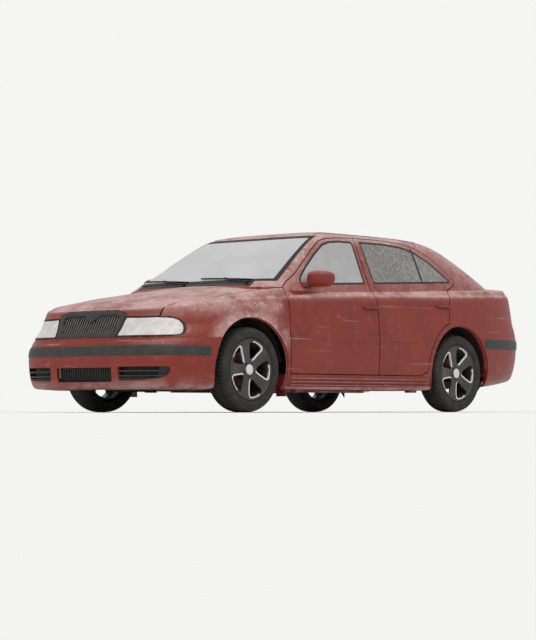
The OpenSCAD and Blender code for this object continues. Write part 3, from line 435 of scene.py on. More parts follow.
@dataclass(frozen=True)
class BodyShape:
    """Outer skin of the body: nested squared ellipses for the lower body and for the cabin."""

    # half width, front, back, squareness front and back, height at tail, rear axle, middle,
    # front axle and nose
    rings: tuple = (
        (740, 2110, 2100, 6, 6, 270, 180, 165, 165, 168), (820, 2218, 2195, 6.5, 6, 288, 192, 175, 176, 180),
        (850, 2250, 2230, 6.5, 6, 360, 280, 270, 262, 262),
        (862, 2258, 2255, 6.5, 6, 480, 410, 400, 390, 380),
        (865, 2258, 2258, 6, 6, 580, 560, 530, 500, 460), (861, 2243, 2240, 5.4, 6, 670, 680, 650, 600, 535),
        (853, 2203, 2210, 5, 6, 760, 790, 760, 700, 605), (842, 2170, 2195, 5, 6, 870, 880, 850, 780, 680),
        (815, 2148, 2185, 5, 6, 980, 945, 910, 835, 735), (765, 2122, 2170, 5, 6, 980, 945, 910, 835, 735),
        (700, 2085, 2135, 5, 6, 980, 945, 910, 835, 735), (500, 1985, 2055, 5, 6, 980, 945, 910, 835, 735),
        (250, 1880, 1950, 5, 6, 980, 945, 910, 835, 735), (60, 1800, 1900, 2, 2, 980, 945, 910, 835, 735))
    ring_x: tuple = (-2258, -1159, 0, 1353, 2258)
    top_x: tuple = (-2200, -2165, -2100, -1950, -1600, -1159, -500, 0, 500, 950, 1100, 1353, 1600, 1800,
                    1980, 2080, 2120, 2200)
    top_z: tuple = (1035, 1048, 1060, 1068, 1062, 1045, 1015, 1000, 992, 985, 965, 925, 888, 858, 822,
                    793, 775, 735)
    crown: float = 55
    shoulder_ring: int = 8
    cabin_last: int = 11
    # height, half width, front, back, squareness front and back
    cabin_rings: tuple = (
        (830, 830, 1320, 2040, 8, 6), (950, 774, 1135, 2010, 8, 6), (1020, 744, 1015, 1960, 8, 6),
        (1100, 710, 875, 1840, 8, 6), (1180, 678, 735, 1690, 8, 6), (1260, 645, 590, 1530, 8, 6),
        (1330, 613, 458, 1365, 8, 6), (1375, 578, 360, 1215, 7, 6), (1402, 525, 270, 1060, 6, 5),
        (1419, 425, 165, 880, 4, 4), (1428, 250, 50, 640, 3, 3), (1431, 60, -50, 400, 2, 2))

    def row(self, table: tuple, v: Array) -> list[Array]:
        """Smooth every column of a ring table at ring number v."""
        return list(np.moveaxis(curve(np.arange(len(table)), np.array(table, float), v), -1, 0))

    def side_height(self, r: list[Array], x: Array) -> Array:
        """Height of a lower ring at x, from its five heights."""
        return curve(self.ring_x, np.stack([k + 0 * x for k in r[5:10]]), x + 0 * r[5], own=True)

    def lid_height(self, x: Array, y: Array) -> Array:
        """Height of the top: a lengthwise curve less a crown that grows with y squared."""
        return curve(self.top_x, np.array(self.top_z, float), x) - self.crown * (y / 765) ** 2

    @staticmethod
    def squared(s: Array, front: Array, back: Array) -> tuple[Array, Array]:
        """Unit point of |x|^n + |y|^n = 1 at a walk round it.

        Args:
            s: Walk: 0 nose, 1 corner, 2 side, 3 corner, 4 tail; below zero on the right.
            front: Squareness n ahead of the middle.
            back: Squareness n behind it.
        Returns:
            The unit point's x and y.
        """
        a = np.abs(s)
        ex = np.where(a <= 1, 1.0, np.where(a < 3, 2 - a, -1.0))
        ey = np.where(a <= 1, a, np.where(a < 3, 1.0, 4 - a))
        n = np.where(ex >= 0, front, back)
        d = (np.abs(ex) ** n + np.abs(ey) ** n) ** (1 / n)
        return ex / d, np.sign(s + 1e-12) * ey / d

    def top_height(self, r: list[Array], v: Array, x: Array, y: Array) -> Array:
        """Height on lower ring v: its own up to ring 8, the lid's from ring 9, eased between."""
        w = ease(v - self.shoulder_ring)
        return self.side_height(r, x) * (1 - w) + self.lid_height(x, y) * w

    def lower(self, s: Array, v: Array) -> Array:
        """Point of the lower body.

        Args:
            s: Walk round the ring.
            v: Ring number.
        Returns:
            Points, as rows of x, y and z.
        """
        r = self.row(self.rings, v)
        ex, ey = self.squared(s, r[3], r[4])
        x, y = np.where(ex >= 0, r[1], r[2]) * ex, r[0] * ey
        return np.stack([x, y, self.top_height(r, v, x, y)], -1)

    def cabin(self, s: Array, u: Array) -> Array:
        """Point of the cabin.

        Args:
            s: Walk round the ring.
            u: Ring number.
        Returns:
            Points, as rows of x, y and z.
        """
        r = self.row(self.cabin_rings, u)
        ex, ey = self.squared(s, r[4], r[5])
        return np.stack([np.where(ex >= 0, r[2], r[3]) * ex, r[1] * ey, r[0] + 0 * ex], -1)

    @staticmethod
    def width_at(x: Array, half: Array, front: Array, back: Array, nf: Array, nr: Array) -> Array:
        """Half width of a squared ellipse at x: b (1 - |x/X|^n)^(1/n).

        Args:
            x: Place along the car.
            half: Half width b.
            front, back: Reach X ahead and behind.
            nf, nr: Squareness n ahead and behind.
        Returns:
            The half width.
        """
        share = np.clip(np.abs(x / np.where(x >= 0, front, back)), 0, 1)
        n = np.where(x >= 0, nf, nr)
        return half * (1 - share ** n) ** (1 / n)

    @staticmethod
    def past_ring(x: Array, y: Array, half: Array, front: Array, back: Array, nf: Array, nr: Array) -> Array:
        """|x/X|^n + |y/b|^n - 1, with the outline's numbers as for width_at: above zero outside."""
        n = np.where(x >= 0, nf, nr)
        return (np.abs(x / np.where(x >= 0, front, back)) ** n + np.abs(y / half) ** n) - 1

    def at_height(self, x: Array, z: Array) -> Array:
        """Number of the lower ring whose height at x is z."""
        return solve(lambda t: self.side_height(self.row(self.rings, t), x) - z, 0, self.shoulder_ring, x)

    def lower_side(self, x: Array, z: Array) -> Array:
        """Half width of the lower body at x and z, through the ring whose height there is z."""
        return self.width_at(x, *self.row(self.rings, self.at_height(x, z))[:5])

    def cabin_side(self, x: Array, z: Array) -> Array:
        """Half width of the cabin at x and z."""
        u = solve(lambda t: self.row(self.cabin_rings, t)[0] - z, 0, self.cabin_last, x)
        return np.where(z > 1431, 0, self.width_at(x, *self.row(self.cabin_rings, u)[1:6]))

    def side(self, x: Array, z: Array) -> Array:
        """Half width of the whole body at x and z, the wider of its two parts."""
        lower = np.where(z > self.lid_height(x, np.full_like(x, 790.0)), 0, self.lower_side(x, z))
        return np.maximum(lower, np.where(z > 900, self.cabin_side(x, z), 0))

    def lower_top(self, x: Array, y: Array) -> Array:
        """Height of the lower body's top over x and y, on the ring that passes there."""
        v = solve(lambda t: self.past_ring(x, y, *self.row(self.rings, t)[:5]), 6, 9, x)
        return self.top_height(self.row(self.rings, v), v, x, y)

    def cabin_top(self, x: Array, y: Array) -> Array:
        """Height of the cabin's top over x and y, on the ring that passes there."""
        u = solve(lambda t: self.past_ring(x, y, *self.row(self.cabin_rings, t)[1:6]), 0, self.cabin_last, x)
        return self.row(self.cabin_rings, u)[0]

    def top(self, x: Array, y: Array) -> Array:
        """Height of the whole body over x and y."""
        return np.maximum(self.lower_top(x, y), self.cabin_top(x, y))

    def reach(self, y: Array, z: Array, start: float, far: int, power: int) -> Array:
        """Reach of one end of the lower body, by turns of ring for height and outline for width.

        Args:
            y: Place across.
            z: Height.
            start: First guess of x; its sign is the end's.
            far: Column of the ring's reach to that end.
            power: Column of its squareness there.
        Returns:
            The end's x.
        """
        x = np.full(y.shape, start)
        for _ in range(4):
            r = self.row(self.rings, self.at_height(x, z))
            x = math.copysign(1, start) * r[far] * (
                1 - np.clip(np.abs(y / r[0]), 0, 1) ** r[power]) ** (1 / r[power])
        return x

    def front(self, y: Array, z: Array) -> Array:
        """Reach of the nose at y and z."""
        return self.reach(y, z, 2240.0, 1, 3)

    def back(self, y: Array, z: Array) -> Array:
        """Reach of the tail at y and z, as a negative x."""
        return self.reach(y, z, -2200.0, 2, 4)


BODY = BodyShape()
FRONT_AXLE, REAR_AXLE = 1353, -1159       # x of the wheel centres
HUB_HEIGHT = 316.0
ARCH_RADIUS = 385.0


def even(place: Callable[[Array], Array], low: float, high: float, step: float) -> Array:
    """Spread parameter values so that points along a curve lie one step apart.

    Args:
        place: Points of the curve at an array of parameters.
        low: First parameter.
        high: Last parameter.
        step: Distance between points.
    Returns:
        The parameter values.
    """
    t = np.linspace(low, high, 900)
    run = np.concatenate([[0], np.cumsum(np.linalg.norm(np.diff(place(t), axis=0), axis=1))])
    return np.interp(np.linspace(0, run[-1], max(3, int(run[-1] / step) + 1)), run, t)


@dataclass(frozen=True)
class Chart:
    """A surface over a grid of two parameters."""

    place: Callable[[Array, Array], Array]
    a: Array
    b: Array

    def at(self, i: Array, j: Array) -> Array:
        """Points at grid positions, which may lie between the grid's lines."""
        return self.place(np.interp(i, np.arange(len(self.a)), self.a),
                          np.interp(j, np.arange(len(self.b)), self.b))

    def normals(self, i: Array, j: Array) -> Array:
        """Unit normals from the cross product of the two slopes."""
        d = 0.25
        along = self.at(i + d, j) - self.at(i - d, j)
        across = self.at(i, j + d) - self.at(i, j - d)
        n = np.cross(along, across)
        return n / np.maximum(np.linalg.norm(n, axis=1, keepdims=True), 1e-9)


def ring_chart(place: Callable[[Array, Array], Array], level: float, walk: tuple[float, float],
               rings: tuple[float, float], step: float) -> Chart:
    """Chart between two walks and two rings, its lines a step apart.

    Args:
        place: Point at a walk and a ring number.
        level: Ring along which the walks are spaced.
        walk: First and last walk.
        rings: First and last ring number.
        step: Distance between lines.
    Returns:
        The chart.
    """
    middle = sum(walk) / 2
    return Chart(place, even(lambda t: place(t, np.full_like(t, level)), *walk, step),
                 even(lambda t: place(np.full_like(t, middle), t), *rings, step))


def lower_chart(walk: tuple[float, float], rings: tuple[float, float], step: float = 15) -> Chart:
    """Chart of the lower body between two walks and two rings."""
    return ring_chart(BODY.lower, 5.0, walk, rings, step)


def cabin_chart(walk: tuple[float, float], rings: tuple[float, float], step: float = 15) -> Chart:
    """Chart of the cabin between two walks and two rings."""
    return ring_chart(BODY.cabin, 4.0, walk, rings, step)


def spaced(ends: tuple[float, float], step: float) -> Array:
    """Even values from end to end, about a step apart."""
    return np.linspace(*ends, int((ends[1] - ends[0]) / step) + 1)


def top_chart(x: tuple[float, float], y: tuple[float, float], step: float = 15,
              height: Callable[[Array, Array], Array] = BODY.top) -> Chart:
    """Chart of a height over x and y."""
    return Chart(lambda a, b: np.stack([a, b, height(a, b)], -1), spaced(x, step), spaced(y, step))


def end_chart(y: tuple[float, float], z: tuple[float, float], step: float = 12,
              reach: Callable[[Array, Array], Array] = BODY.front) -> Chart:
    """Chart of the nose or tail over y and z."""
    return Chart(lambda a, b: np.stack([reach(a, b), a, b], -1), spaced(y, step), spaced(z, step))


# ---------------------------------------------------------------- regions

def polygon(points: Sequence[Sequence[float]], u: int, v: int) -> Region:
    """Region inside an outline drawn on two axes: signed distance, negative inside.

    Args:
        points: Corners of the outline.
        u: Axis number of the first coordinate.
        v: Axis number of the second coordinate.
    Returns:
        The region.
    """
    corners = np.array(points, float)
    ahead = np.roll(corners, -1, axis=0)

    def distance(p: Array) -> Array:
        """Nearest distance to any side, signed by counting the sides crossed."""
        q = p[:, [u, v]][:, None, :]
        side = ahead - corners
        t = np.clip(((q - corners) * side).sum(-1) / (side ** 2).sum(-1), 0, 1)
        near = np.linalg.norm(q - corners - t[..., None] * side, axis=-1).min(1)
        up = (corners[:, 1] <= q[..., 1]) != (ahead[:, 1] <= q[..., 1])
        rise = np.where(np.abs(side[:, 1]) < 1e-9, 1e-9, side[:, 1])
        cross = corners[:, 0] + (q[..., 1] - corners[:, 1]) / rise * side[:, 0]
        inside = (up & (q[..., 0] < cross)).sum(1) % 2 == 1
        return np.where(inside, -near, near)
    return distance


def both_ways(region: Region) -> Region:
    """The same region on both sides of the car."""
    return lambda p: region(np.stack([p[:, 0], np.abs(p[:, 1]), p[:, 2]], -1))


def all_of(*regions: Region) -> Region:
    """Where every region holds: the greatest of their distances."""
    return lambda p: np.max([r(p) for r in regions], axis=0)


def outside(region: Region, gap: float = 0.0) -> Region:
    """Everything further than gap from a region."""
    return lambda p: gap - region(p)


def grown(region: Region, by: float) -> Region:
    """A region made larger all round, or smaller where by is below zero."""
    return lambda p: region(p) - by


def band(region: Region, inner: float, outer: float) -> Region:
    """Strip along a region's edge, from inner to outer millimetres outside it."""
    return lambda p: np.abs(region(p) - (inner + outer) / 2) - (outer - inner) / 2


def beyond(axis: int, limit: float, sign: int = 1) -> Region:
    """Where a coordinate is past a limit, upwards for sign 1 and downwards for -1."""
    return lambda p: sign * (limit - p[:, axis])


def arch(x: float) -> Region:
    """Round wheel opening, with nearly upright sides below its widest part."""
    def distance(p: Array) -> Array:
        """Circle's distance, joined with a slab under it."""
        circle = np.hypot(p[:, 0] - x, p[:, 2] - HUB_HEIGHT) - ARCH_RADIUS
        slab = np.maximum(np.abs(p[:, 0] - x) - ARCH_RADIUS * 0.98, p[:, 2] - 174)
        return np.minimum(circle, slab)
    return distance


# ---------------------------------------------------------------- meshes

@dataclass
class Patch:
    """Points with quads and triangles, and values kept for each point."""

    points: Array
    faces: list
    values: dict[str, Array] = field(default_factory=dict)

    def mirrored(self) -> "Patch":
        """The patch on the other side of the car, with its faces turned."""
        return Patch(self.points * [1, -1, 1], [f[::-1] for f in self.faces], self.values)


def joined(patches: Sequence[Patch]) -> Patch:
    """Put several patches in one, side by side.

    Args:
        patches: The patches; a value that one of them lacks is zero there.
    Returns:
        The one patch.
    """
    names = {n for p in patches for n in p.values}
    starts = np.cumsum([0] + [len(p.points) for p in patches]).tolist()
    faces = [[i + start for i in f] for p, start in zip(patches, starts) for f in p.faces]
    values = {n: np.concatenate([p.values.get(n, np.zeros(len(p.points))) for p in patches]) for n in names}
    return Patch(np.concatenate([p.points for p in patches]), faces, values)


def grid_faces(rows: int, columns: int, wrap_rows: bool = False, wrap_columns: bool = False) -> Array:
    """Quads of a grid of points numbered row by row.

    Args:
        rows: Rows of points.
        columns: Points in a row.
        wrap_rows: Whether the last row meets the first.
        wrap_columns: Whether each row closes on itself.
    Returns:
        Four point numbers a face.
    """
    i = np.arange(rows if wrap_rows else rows - 1)
    j = np.arange(columns if wrap_columns else columns - 1)
    i, j = (g.ravel() for g in np.meshgrid(i, j, indexing="ij"))
    k, m = (i + 1) % rows, (j + 1) % columns
    return np.stack([i * columns + j, k * columns + j, k * columns + m, i * columns + m], -1)


def open_edges(faces: list, count: int) -> Array:
    """Directed edges that only one face has.

    Args:
        faces: Triangles and quads.
        count: Number of points.
    Returns:
        Start and end of each edge.
    """
    quads = np.array([f for f in faces if len(f) == 4]).reshape(-1, 4)
    tris = np.array([f for f in faces if len(f) == 3]).reshape(-1, 3)
    ends = np.concatenate([np.stack([g, np.roll(g, -1, axis=1)], -1).reshape(-1, 2)
                           for g in (quads, tris)]).astype(np.int64)
    key, back = ends[:, 0] * count + ends[:, 1], ends[:, 1] * count + ends[:, 0]
    return ends[~np.isin(key, back)]


def skin(chart: Chart, region: Region, out: float = 1.6, depth: float = 4.5,
         centre: tuple[float, float, float] = (0.8, 0.0, 650.0), rolled: float = 0.0) -> Patch:
    """Cut a region from a chart and give it a wall.

    Grid points within half a cell of the region's edge are moved onto it by Newton steps in grid
    units, whole cells inside are kept, and cells with three corners inside give a triangle. The
    wall lies between the surface moved out along its normal and the same moved back by depth.

    Args:
        chart: The surface.
        region: Signed distance, negative inside.
        out: How far the outer face stands proud.
        depth: Wall thickness.
        centre: Share of x, then y and z, of the line that normals point away from.
        rolled: How far the outer face drops at its edge, over three times that width.
    Returns:
        The closed shell, with its up-facing share, read as chalk and as a painted highlight of light from
        above, in one value and its low down-facing one in salt.
    """
    rows, columns = len(chart.a), len(chart.b)
    i, j = (g.ravel().astype(float) for g in np.meshgrid(np.arange(rows), np.arange(columns), indexing="ij"))
    i0, j0 = i.copy(), j.copy()

    def value(a: Array, b: Array) -> Array:
        """Region's distance at grid positions."""
        return region(chart.at(np.clip(a, 0, rows - 1), np.clip(b, 0, columns - 1)))

    f = value(i, j)
    near = np.zeros(len(i), bool)
    for turn in range(4):
        pick = np.arange(len(i)) if turn == 0 else np.flatnonzero(near)
        a, b, h = i[pick], j[pick], 0.3
        up, down = np.clip(a + h, 0, rows - 1), np.clip(a - h, 0, rows - 1)
        right, left = np.clip(b + h, 0, columns - 1), np.clip(b - h, 0, columns - 1)
        gi = (value(up, b) - value(down, b)) / (up - down)
        gj = (value(a, right) - value(a, left)) / (right - left)
        g2 = gi ** 2 + gj ** 2 + 1e-9
        if turn == 0:
            near = np.abs(f) < 0.56 * np.sqrt(g2)
            move = near
        else:
            move = np.ones(len(pick), bool)
        step_i = np.where(move, np.clip(-f[pick] * gi / g2, -0.6, 0.6), 0)
        step_j = np.where(move, np.clip(-f[pick] * gj / g2, -0.6, 0.6), 0)
        i[pick] = np.clip(i0[pick] + np.clip(i[pick] + step_i - i0[pick], -0.62, 0.62), 0, rows - 1)
        j[pick] = np.clip(j0[pick] + np.clip(j[pick] + step_j - j0[pick], -0.62, 0.62), 0, columns - 1)
        f[pick] = value(i[pick], j[pick])
    kept = np.where(near, f < 3.0, f < 0)
    cells = grid_faces(rows, columns)
    inside = kept[cells]
    quads = cells[inside.all(1)]
    three = inside.sum(1) == 3
    tris = cells[three][inside[three]].reshape(-1, 3)
    used = np.unique(np.concatenate([quads.ravel(), tris.ravel()]))
    renumber = np.full(len(i), -1)
    renumber[used] = np.arange(len(used))
    faces = renumber[quads].tolist() + renumber[tris].tolist()
    p = chart.at(i[used], j[used])
    n = chart.normals(i[used], j[used])
    away = p - np.stack([p[:, 0] * centre[0], 0 * p[:, 0] + centre[1], 0 * p[:, 0] + centre[2]], -1)
    flip = np.sign(np.median(np.sign((n * away).sum(1))) or 1)
    n = n * flip
    if flip < 0:
        faces = [g[::-1] for g in faces]
    lift = np.full(len(p), out)
    if rolled:
        lift = out - rolled * (1 - ease(-f[used] / (3 * rolled)))
    rim = open_edges(faces, len(p))
    count = len(p)
    wall = np.stack([rim[:, 1], rim[:, 0], rim[:, 0] + count, rim[:, 1] + count], -1)
    whole = faces + [[k + count for k in g[::-1]] for g in faces] + wall.tolist()
    # Up-facing share: real chalking plus a painted highlight of light from above; low down-facing share:
    # salt.
    bloom, salt = ease((n[:, 2] - 0.2) / 0.62), ease((-0.1 - n[:, 2]) / 0.5) * (p[:, 2] < 520)
    return Patch(np.concatenate([p + n * lift[:, None], p + n * (out - depth)]), whole,
                 {"bloom": np.tile(bloom, 2), "salt": np.tile(salt, 2)})


def tubes(paths: Array, wide: float, deep: float, up: Sequence[float] = (0, 0, 1), sides: int = 4,
          power: float = 2.0) -> Patch:
    """Carry a rounded section along many paths at once.

    The section is a squared ellipse of the given power; its width lies along the cross product of
    the path and up. Ends are closed by fans.

    Args:
        paths: Points, as paths by points by 3.
        wide: Half width across the path.
        deep: Half depth.
        up: Direction that the depth leans towards.
        sides: Points round the section.
        power: Squareness of the section.
    Returns:
        Closed tubes.
    """
    paths = np.asarray(paths, float)
    if paths.ndim == 2:
        paths = paths[None]
    many, count, _ = paths.shape
    along = np.gradient(paths, axis=1)
    along /= np.linalg.norm(along, axis=-1, keepdims=True)
    side = np.cross(along, np.asarray(up, float))
    side /= np.maximum(np.linalg.norm(side, axis=-1, keepdims=True), 1e-9)
    over = np.cross(side, along)
    t = np.arange(sides) * 2 * math.pi / sides + math.pi / sides
    c, s = np.cos(t), np.sin(t)
    d = (np.abs(c) ** power + np.abs(s) ** power) ** (1 / power)
    reach = (c / d) * wide, (s / d) * deep
    ring = (paths[:, :, None] + side[:, :, None] * reach[0][:, None] + over[:, :, None] * reach[1][:, None])
    per = count * sides
    points = np.concatenate([ring.reshape(many, per, 3), paths[:, :1], paths[:, -1:]], axis=1)
    k = np.arange(sides)
    m = (k + 1) % sides
    base = grid_faces(count, sides, False, True)[:, ::-1].tolist()
    base += np.stack([m, k, np.full(sides, per)], -1).tolist()
    base += np.stack([k + per - sides, m + per - sides, np.full(sides, per + 1)], -1).tolist()
    size = points.shape[1]
    whole = [[q + size * w for q in g] for w in range(many) for g in base]
    return outward(Patch(points.reshape(-1, 3), whole))


def outward(patch: Patch) -> Patch:
    """Turn every face over if the volume, summed over fans of triangles, is below zero.

    Args:
        patch: A closed patch.
    Returns:
        The patch with its faces outwards.
    """
    p = patch.points
    tris = np.array([(f[0], f[k], f[k + 1]) for f in patch.faces for k in range(1, len(f) - 1)])
    volume = (p[tris[:, 0]] * np.cross(p[tris[:, 1]], p[tris[:, 2]])).sum()
    return patch if volume > 0 else Patch(p, [f[::-1] for f in patch.faces], patch.values)


def turned(profile: Sequence[Sequence[float]], steps: int = 96,
           swell: Callable[[Array, Array, Array], Array] | None = None) -> Patch:
    """Spin a closed profile of radius and axial place round the Y axis.

    Args:
        profile: Radius and axial place of each corner.
        steps: Points round.
        swell: Extra radius as a function of angle, radius and axial place.
    Returns:
        The closed ring.
    """
    r, w = np.array(profile, float).T
    t = np.arange(steps) * 2 * math.pi / steps
    angle, radius = np.meshgrid(t, r, indexing="ij")
    axial = np.broadcast_to(w, angle.shape)
    extra = swell(angle, radius, axial) if swell else np.zeros_like(radius)
    reach = radius + extra
    points = np.stack([reach * np.cos(angle), axial, reach * np.sin(angle)], -1).reshape(-1, 3)
    return outward(Patch(points, grid_faces(steps, len(r), True, True).tolist(), {"groove": -extra.ravel()}))


def blob(centre: Sequence[float], size: Sequence[float], power: float = 2.6, lean: float = 0.0,
         rings: int = 28, around: int = 48, shaped: Callable[[Array], Array] | None = None) -> Patch:
    """Squared ellipsoid: |x|^n + |y|^n + |z|^n = 1, scaled, bent by a function, leant about Y.

    Args:
        centre: Middle.
        size: Half sizes along x, y and z before leaning.
        power: Squareness n.
        lean: Turn about the Y axis, degrees.
        rings: Rows from pole to pole.
        around: Points round.
        shaped: Changes the unit points before they are scaled.
    Returns:
        The closed form.
    """
    lat = np.linspace(0.02, math.pi - 0.02, rings)
    lon = np.arange(around) * 2 * math.pi / around
    a, b = np.meshgrid(lat, lon, indexing="ij")
    unit = np.stack([np.sin(a) * np.cos(b), np.sin(a) * np.sin(b), np.cos(a)], -1).reshape(-1, 3)
    unit = np.concatenate([unit, [[0, 0, 1], [0, 0, -1]]])
    unit /= (np.abs(unit) ** power).sum(1, keepdims=True) ** (1 / power)
    if shaped:
        unit = shaped(unit)
    faces = grid_faces(rings, around, False, True).tolist()
    k = np.arange(around)
    m = (k + 1) % around
    top, bottom = rings * around, rings * around + 1
    faces += np.stack([k, m, np.full(around, top)], -1).tolist()
    last = (rings - 1) * around
    faces += np.stack([m + last, k + last, np.full(around, bottom)], -1).tolist()
    p = unit * np.asarray(size, float)
    c, s = math.cos(math.radians(lean)), math.sin(math.radians(lean))
    p = np.stack([p[:, 0] * c + p[:, 2] * s, p[:, 1], -p[:, 0] * s + p[:, 2] * c], -1)
    return outward(Patch(p + np.asarray(centre, float), faces))


def piece(name: str, patch: Patch, finish: Finish, body: str = "car_body", sharp: float = 38,
          replaces: Sequence[str] = (), slot: Slot | None = None) -> bpy.types.Object:
    """Make a piece from a patch, dress it and let it ride on a body.

    Args:
        name: The piece's name.
        patch: Points in millimetres and faces.
        finish: Its finish.
        body: The body that it moves with.
        sharp: Edges that turn more than this many degrees stay crisp.
        replaces: Frame nodes that it stands for.
        slot: The record's material slot, where it isn't the finish's own; not used.
    Returns:
        The new object.
    """
    mesh = bpy.data.meshes.new(name)
    mesh.from_pydata((patch.points * MM).tolist(), [], patch.faces)
    for key, values in patch.values.items():
        mesh.attributes.new(key, "FLOAT", "POINT").data.foreach_set("value", values.astype(np.float32))
    mesh.materials.append(finish.material())
    mesh.shade_smooth()
    mesh.set_sharp_from_angle(angle=math.radians(sharp))
    mesh.update()
    made = bpy.data.objects.new(name, mesh)
    bpy.context.scene.collection.objects.link(made)
    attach(made, body)
    if replaces:
        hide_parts(*replaces)
    LOG.info("%s: %d points on %s", name, len(patch.points), body)
    return made


def pair(name: str, patch: Patch, finish: Finish, body: str = "car_body",
         **more: object) -> list[bpy.types.Object]:
    """Make a left piece and its mirror.

    Args:
        name: Name that left or right is added to.
        patch: The left piece's patch.
        finish: Finish of both.
        body: Their body, whose name may hold a place for the side.
        more: Further settings of piece.
    Returns:
        The two objects.
    """
    return [piece(f"{name}_{side}", shape, finish, body.format(side), **more)
            for side, shape in (("left", patch), ("right", patch.mirrored()))]


def both_sides(patch: Patch) -> Patch:
    """A patch and its mirror, as one."""
    return joined([patch, patch.mirrored()])


# ---------------------------------------------------------------- outlines shared with the frame

FRONT_DOOR = polygon([[936, 293.4], [944, 600], [936, 850], [914, 948], [850, 990], [738, 1050], [470, 1240],
                      [335, 1326], [240, 1350], [100, 1363], [-96, 1370], [-96, 293.4]], 0, 2)
REAR_DOOR = all_of(polygon([[-104.5, 293.4], [-104.5, 1370], [-420, 1371], [-700, 1358], [-880, 1322],
                            [-1040, 1248], [-1170, 1152], [-1248, 1084], [-1236, 1046], [-1090, 988],
                            [-1034, 910], [-1012, 800], [-1000, 700], [-760, 340], [-630, 293.4]], 0, 2),
                   outside(arch(REAR_AXLE), 50))
FRONT_WINDOW = polygon([[704, 972], [-52, 1008], [-56, 1336], [100, 1336], [230, 1324], [318, 1298],
                        [452, 1214], [596, 1110], [690, 1034], [716, 996]], 0, 2)
REAR_WINDOW = polygon([[-178, 1014], [-160, 1340], [-450, 1342], [-680, 1326], [-830, 1290], [-980, 1218],
                       [-1110, 1129], [-1186, 1072], [-1164, 1062]], 0, 2)
BONNET = polygon([[1112, -692], [1353, -690], [1800, -655], [2100, -600], [2400, -560], [2400, 560],
                  [2100, 600], [1800, 655], [1353, 690], [1112, 692]], 0, 1)
TAILGATE = polygon([[-1002, -520], [-1400, -575], [-1750, -625], [-2100, -660], [-2400, -660], [-2400, 660],
                    [-2100, 660], [-1750, 625], [-1400, 575], [-1002, 520]], 0, 1)
REAR_SCREEN = all_of(polygon([[-1090, -462], [-1400, -515], [-1690, -560], [-1690, 560], [-1400, 515],
                              [-1090, 462]], 0, 1), beyond(2, 1080))
SCREEN = all_of(polygon([[-712, 992], [712, 992], [668, 1100], [560, 1368], [-560, 1368],
                         [-668, 1100]], 1, 2), beyond(0, 240))
GRILLE = polygon([[-312, 545.3], [312, 545.3], [346, 715], [250, 740], [0, 744], [-250, 740],
                  [-346, 715]], 1, 2)
HEADLIGHT = both_ways(polygon([[318, 546], [350, 692], [449, 690], [600, 692], [655, 690], [686, 684],
                               [710, 670], [728, 645], [743, 610], [752, 578], [748, 560], [730, 551],
                               [644, 547]], 1, 2))
TAIL_LIGHT = all_of(both_ways(polygon([[668, 706], [668, 930], [790, 912], [900, 880], [900, 706]], 1, 2)),
                    beyond(0, -2030, -1))
SIDE_WELL = both_ways(polygon([[352, 250], [352, 330], [690, 330], [670, 250]], 1, 2))
SIDE_INTAKE = both_ways(polygon([[358, 230], [352, 331], [726, 331], [736, 318], [732, 288], [712, 262],
                                 [676, 246], [560, 233]], 1, 2))
CENTRE_INTAKE = polygon([[-285, 222], [-285, 326], [285, 326], [285, 222]], 1, 2)
FRONT_ARCH, REAR_ARCH = arch(FRONT_AXLE), arch(REAR_AXLE)
GRILLE_ZONE = all_of(GRILLE, beyond(0, 1980))
GAP = 7.5                                  # between a fixed skin and one that opens
FRONT_SPLIT, REAR_SPLIT = 545, 655         # heights where the bumpers meet the body
SILL_TOP = 286
COWL_FOOT = 936                            # lowest point of the screen pillar


def inside_ring_nine(p: Array) -> Array:
    """Below zero inside ring 9 of the lower body, where its rounded edge begins."""
    ring = BODY.row(BODY.rings, np.full(len(p), 9.0))
    return BODY.past_ring(p[:, 0], p[:, 1], *ring[:5]) * 300


def narrower(half: float) -> Region:
    """Where a point lies within half a width of the middle."""
    return lambda p: np.abs(p[:, 1]) - half


def run(x: Array, y: Array | float, z: Array | float) -> Array:
    """Points of a path from its three coordinates, any of which may be one number."""
    return np.stack(np.broadcast_arrays(x, y, z), -1).astype(float)


def above_lower(p: Array) -> Array:
    """Below zero where a point of the cabin stands clear of the lower body."""
    return BODY.lower_top(p[:, 0], p[:, 1]) - p[:, 2] - 1


def clear_of_cabin(p: Array) -> Array:
    """Below zero where a point of the lower body's top lies outside the cabin."""
    return np.where(p[:, 2] < 880, -5.0, BODY.cabin_top(p[:, 0], p[:, 1]) - p[:, 2] - 1)


